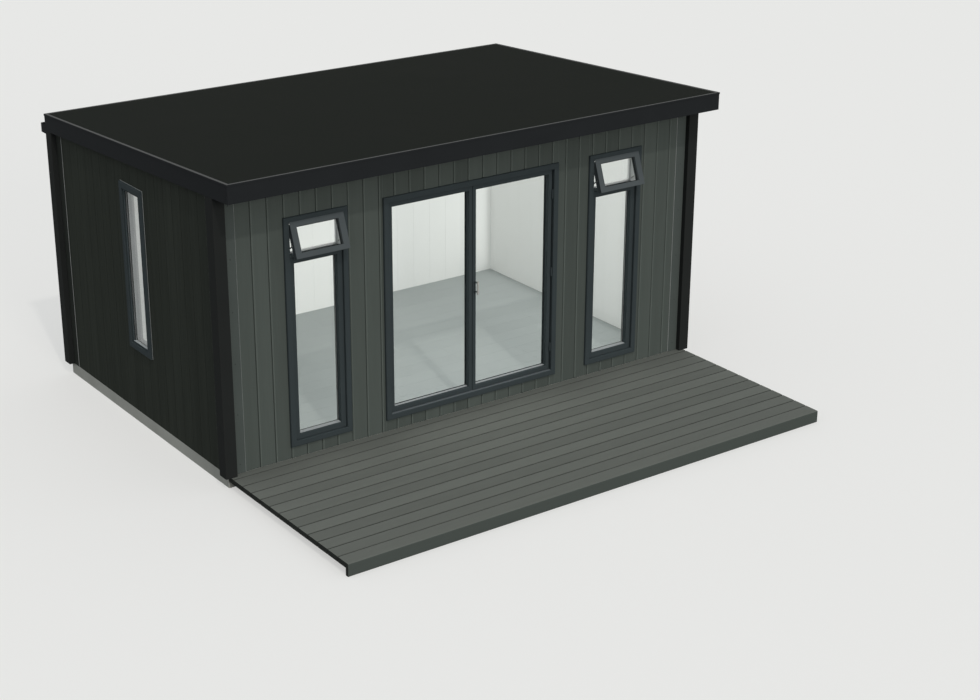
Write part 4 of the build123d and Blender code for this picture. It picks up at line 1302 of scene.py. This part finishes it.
bm = bmesh.new()
grid = []
for j in range(ROWS + 1):
    y = roof_low.y + (roof_high.y - roof_low.y) * j / ROWS
    grid.append([])
    for i in range(COLUMNS + 1):
        x = roof_low.x + (roof_high.x - roof_low.x) * i / COLUMNS
        grid[-1].append(bm.verts.new((x, y, roof_z(y, SURFACE + RIPPLE * ripple(x, y)))))
for a, b in zip(grid, grid[1:]):
    for i in range(COLUMNS):
        bm.faces.new((a[i], a[i + 1], b[i + 1], b[i]))
lower = {}
rim = [e for e in bm.edges if e.is_boundary]
for edge in rim:
    for vert in edge.verts:
        if vert not in lower:
            lower[vert] = bm.verts.new((vert.co.x, vert.co.y, roof_z(vert.co.y, MEMBRANE)))
for edge in rim:
    a, b = edge.verts
    bm.faces.new((a, b, lower[b], lower[a]))
new_piece("roof_sheet", bm, roof_rubber, "roof_rubber", "roof_membrane", smooth=True)
print("roof sheet of", COLUMNS * ROWS, "cells")

# %% [markdown]
# ## Roof edge
# The edge of the sheet is capped by a folded metal trim, mitred at the corners, with a raised nose
# that catches the light as a thin pale line. It is one more ring, laid along the slope by a place
# of its own. Its level faces take a pale coat, a painted highlight where they face the sky, and its
# upright ones the black coat.

# %% Roof trim
TRIM_DEPTH = 0.018
NOSE, NOSE_WIDTH, NOSE_STEP = 0.0025, 0.010, 0.0012
trim_low, trim_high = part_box("roof_edge_trim")
trim_width = trim_high.x - roof_high.x
bm = bmesh.new()
roof_place = lambda u, d, v: Vector((u, v, roof_z(v, d)))
add_ring(bm, roof_place, trim_low.x, trim_high.x, trim_low.y, trim_high.y, trim_width,
         [(0, 0, TRIM_DEPTH), (0, 0, NOSE), (0, 0.3 * NOSE, 0.3 * NOSE), (0, NOSE, 0),
          (0, NOSE_WIDTH, 0), (0, 0.012, NOSE_STEP), (1, -0.001, NOSE_STEP), (1, 0, 0.002),
          (1, 0, TRIM_DEPTH)])
made = new_piece("roof_trim_mitred", bm, [trim_highlight_coat, black_coat], "edge_trim",
                 "roof_edge_trim")
# Level faces take the pale coat as painted highlight, upright ones the black coat.
for face in made.data.polygons:
    face.material_index = int(abs(face.normal.z) < 0.7)
print("the trim is", round(1000 * trim_width), "mm wide")

# %% [markdown]
# ## Gutter and downpipe
# The gutter is a square channel on the rear fascia, stiffened by straps across its top, and the
# pipe is held to the corner post by two bands. Straps and bands are cut from the same thin strip.

# %% Gutter and downpipe
STRAPS, STRAP_INSET, STRAP_HALF = 7, 0.15, 0.011
BAND, BAND_HEIGHT = 0.002, 0.025
rounded("rear_gutter", 0.0012, black_coat, "black_metal")
rounded("downpipe", 0.0010, black_coat, "black_metal")
gutter_low, gutter_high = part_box("rear_gutter")
pipe_low, pipe_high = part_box("downpipe")
bm = bmesh.new()
for i in range(STRAPS):
    run = gutter_high.x - gutter_low.x - 2 * STRAP_INSET
    x = gutter_low.x + STRAP_INSET + run * i / (STRAPS - 1)
    add_block(bm, (x - STRAP_HALF, gutter_low.y + 0.0005, gutter_high.z + 0.0002),
              (x + STRAP_HALF, gutter_high.y - 0.0005, gutter_high.z + 0.0025))
left, right, near, far = pipe_low.x, pipe_high.x, pipe_low.y, pipe_high.y
for z in (0.55, 1.85):
    for x0, x1, y0, y1 in ((left - BAND, right + BAND, far, far + BAND),
                           (left - BAND, left, near, far), (right, right + BAND, near, far)):
        add_block(bm, (x0, y0, z), (x1, y1, z + BAND_HEIGHT))
soften(bm, 0.0004, 1)
new_piece("straps_and_bands", bm, black_coat, "black_metal", smooth=True)
print(STRAPS, "straps over a gutter of", round(gutter_high.x - gutter_low.x, 2), "m")

# %% [markdown]
# ## Deck
# Deck boards run along the front with open gaps between them. Each is one more board of the kind
# that clads the walls, laid flat. Their sides and ends show the darker core of the board, which
# keeps the gaps dark, and both arrises of each board are painted darker, as painted shade along
# the gaps.

# %% Deck boards
DECK_GAP, DECK_WIDTH, DECK_ARRIS = 0.008, 0.1385, 0.003
deck_low, deck_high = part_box("deck_boards")
THICK = deck_high.z - deck_low.z
bm = bmesh.new()
dice = random.Random(51)
deck_place = lambda u, d, x: Vector((x, u, deck_high.z - d))
y = deck_low.y + DECK_GAP
while y < deck_high.y:
    stop = min(y + DECK_WIDTH, deck_high.y)
    # Both arrises of a deck board are painted darker, as painted shade along the gaps.
    add_board(bm, deck_place, y, stop, level(deck_low.x), level(deck_high.x), THICK,
              DECK_ARRIS, DECK_ARRIS, dice.random(), 1, (-0.6, -0.8))
    y += DECK_WIDTH + DECK_GAP
new_piece("deck_planks", bm, [deck_board, deck_core], "deck_composite", "deck_boards")
print("deck boards are", round(DECK_WIDTH * 1000), "mm wide")

# %% [markdown]
# ### The deck's front edge
# The front board is a nosing, which turns down over the ends of the joists. Its outline is seen
# from the side: rounded corners of five points each, joined by straight lines. Its front face is
# painted in the darker colour of the wall boards, as painted shade, because it stands upright and
# shows less of the sky.

# %% Nosing, joists and base
NOSING_THICK = 0.036
NOSE_RADIUS, BACK_RADIUS = 0.008, 0.003


def arc(y, z, radius, start):
    """A quarter turn of five points round a centre, from an angle in degrees."""
    angles = [radians(start - 22.5 * step) for step in range(5)]
    return [(y + radius * cos(angle), z + radius * sin(angle)) for angle in angles]


nosing_low, nosing_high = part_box("deck_nosing")
front, rear = nosing_low.y, nosing_high.y
back = front + NOSING_THICK
foot, top = nosing_low.z, nosing_high.z
outline = [
    *arc(front + NOSE_RADIUS, top - NOSE_RADIUS, NOSE_RADIUS, 180),
    *arc(rear - BACK_RADIUS, top - BACK_RADIUS, BACK_RADIUS, 90),
    (rear, top - THICK), (back, top - THICK), (back, foot + NOSE_RADIUS),
    *arc(back - NOSE_RADIUS, foot + NOSE_RADIUS, NOSE_RADIUS, 0),
    *arc(front + NOSE_RADIUS, foot + NOSE_RADIUS, NOSE_RADIUS, 270),
]
outline = [p for i, p in enumerate(outline)
           if i == 0 or (Vector(p) - Vector(outline[i - 1])).length > SAME_POINT]
bm = bmesh.new()
add_loft(bm, [[Vector((x, y, z)) for y, z in outline] for x in (nosing_low.x, nosing_high.x)],
         0.4, None, 1)
made = new_piece("deck_nosing_rounded", bm, [deck_board, deck_core, shaded_deck_front],
                 "deck_composite", "deck_nosing")
# Faces that look forward take the darker colour, as painted shade.
for face in made.data.polygons:
    if face.normal.y < -0.6:
        face.material_index = 2
rounded("deck_joists", 0.002, joist_timber, "deck_timber", 1)
rounded("base_slab", 0.005, concrete, "concrete")
print("the nosing's outline has", len(outline), "points")

# %% [markdown]
# ## Sky and ground
# The building stands on a plain pale ground. Both sky and ground are one thing to the eye, in
# mirrors and through glass, and another as a source of light: the eye sees an even pale grey, while
# the light that they give can be set on its own.

# %% Sky and ground
SKY = 0.60
SKY_COLOUR = (0.955, 1.0, 1.045)
BACKDROP = (0.830, 0.828, 0.810)
GROUND_LIT, GROUND_LIGHT = (0.985, 0.975, 0.945), (0.10, 0.10, 0.10)
PLAIN_SHARE = 0.58  # of the ground's brightness that takes no shadow


def only_for_camera(tree, seen, other):
    """A shader that is one thing to the eye and another as a source of light."""
    path = add_node(tree, "ShaderNodeLightPath").outputs
    either = path["Is Camera Ray"]
    for kind in ("Is Glossy Ray", "Is Transmission Ray"):
        either = add_node(tree, "ShaderNodeMath", {0: either, 1: path[kind]},
                          operation="MAXIMUM").outputs[0]
    return add_node(tree, "ShaderNodeMixShader", {0: either, 1: other, 2: seen}).outputs[0]


world = bpy.data.worlds.new("sky")
scene.world = world
tree = bare_tree(world)
seen = add_node(tree, "ShaderNodeBackground", {"Color": (*BACKDROP, 1), "Strength": 1.0})
light = add_node(tree, "ShaderNodeBackground", {"Color": (*SKY_COLOUR, 1), "Strength": SKY})
shader = only_for_camera(tree, seen.outputs[0], light.outputs[0])
add_node(tree, "ShaderNodeOutputWorld", {"Surface": shader})

ground = bpy.data.materials.new("ground")
tree = bare_tree(ground)
lit = add_node(tree, "ShaderNodeBsdfDiffuse", {"Color": (*GROUND_LIT, 1)}).outputs[0]
plain = add_node(tree, "ShaderNodeEmission", {"Color": (*BACKDROP, 1), "Strength": 1.0}).outputs[0]
seen = add_node(tree, "ShaderNodeMixShader", {0: PLAIN_SHARE, 1: lit, 2: plain})
light = add_node(tree, "ShaderNodeBsdfDiffuse", {"Color": (*GROUND_LIGHT, 1)})
shader = only_for_camera(tree, seen.outputs[0], light.outputs[0])
add_node(tree, "ShaderNodeOutputMaterial", {"Surface": shader})

bm = bmesh.new()
bmesh.ops.create_circle(bm, cap_ends=True, radius=60.0, segments=96)
add_object("ground", as_mesh("ground", bm, ground))
print("the ground keeps", PLAIN_SHARE, "of its brightness in a shadow")

# %% [markdown]
# ## Two suns
# A low, broad sun from in front fills the shade, and a high, narrow one from a little to the left
# draws the roof's shadow on the wall. Splitting the daylight in two keeps that shadow crisp and
# still pale, as it is under a thin cloud.

# %% Suns
SUN_COLOUR = (1.03, 1.0, 0.955)


def add_sun(name, strength, from_left, height, width):
    """A sun in front of the building; its bearing, its height and its width are in degrees."""
    sun = add_object(name, bpy.data.lights.new(name, "SUN"))
    sun.data.energy = strength
    sun.data.color = SUN_COLOUR
    sun.data.angle = radians(width)
    a, h = radians(from_left), radians(height)
    towards = Vector((-sin(a) * cos(h), -cos(a) * cos(h), sin(h)))
    sun.rotation_euler = towards.to_track_quat("Z", "Y").to_euler()
    print(name, "stands", height, "degrees high")


add_sun("key_sun", 0.53, 14, 51, 2)
add_sun("fill_sun", 0.79, 4, 15, 20)

# %% [markdown]
# ## Light in the room
# A real room gathers daylight from all round, and its white walls pass it on many times over.
# Three hidden soft lights stand in for that: one under the ceiling, one inside the front wall and
# one inside the right wall. No camera or mirror sees them.

# %% Room lights
def add_room_light(name, place, aim, wide, high, energy):
    """A soft rectangle of light that no camera or mirror sees."""
    lamp = add_object(name, bpy.data.lights.new(name, "AREA"))
    lamp.data.shape = "RECTANGLE"
    lamp.data.size, lamp.data.size_y = wide, high
    lamp.data.energy = energy
    lamp.data.spread = pi
    lamp.location = place
    lamp.rotation_euler = (-Vector(aim)).to_track_quat("Z", "Y").to_euler()
    lamp.visible_camera = False
    lamp.visible_glossy = False
    print(name, "measures", round(wide, 2), "by", round(high, 2), "m")


LIGHT_GAP, LIGHT_HEIGHT = 0.03, 2.1
room_top = roof_z(CEILING[1].y, CEILING_DROP)
room_middle = (ROOM_HIGH.z + room_top) / 2
long, deep = 2 * ROOM_X - 0.1, 2 * ROOM_Y - 0.1
add_room_light("ceiling_glow", (0, 0, room_top - 0.02), (0, 0, -1), long, deep, 19.5)
add_room_light("front_glow", (0, -ROOM_Y + LIGHT_GAP, room_middle), (0, 1, 0),
               2 * ROOM_X - 0.8, LIGHT_HEIGHT, 21.5)
add_room_light("right_glow", (ROOM_X - LIGHT_GAP, 0, room_middle), (-1, 0, 0),
               deep, LIGHT_HEIGHT, 10.5)
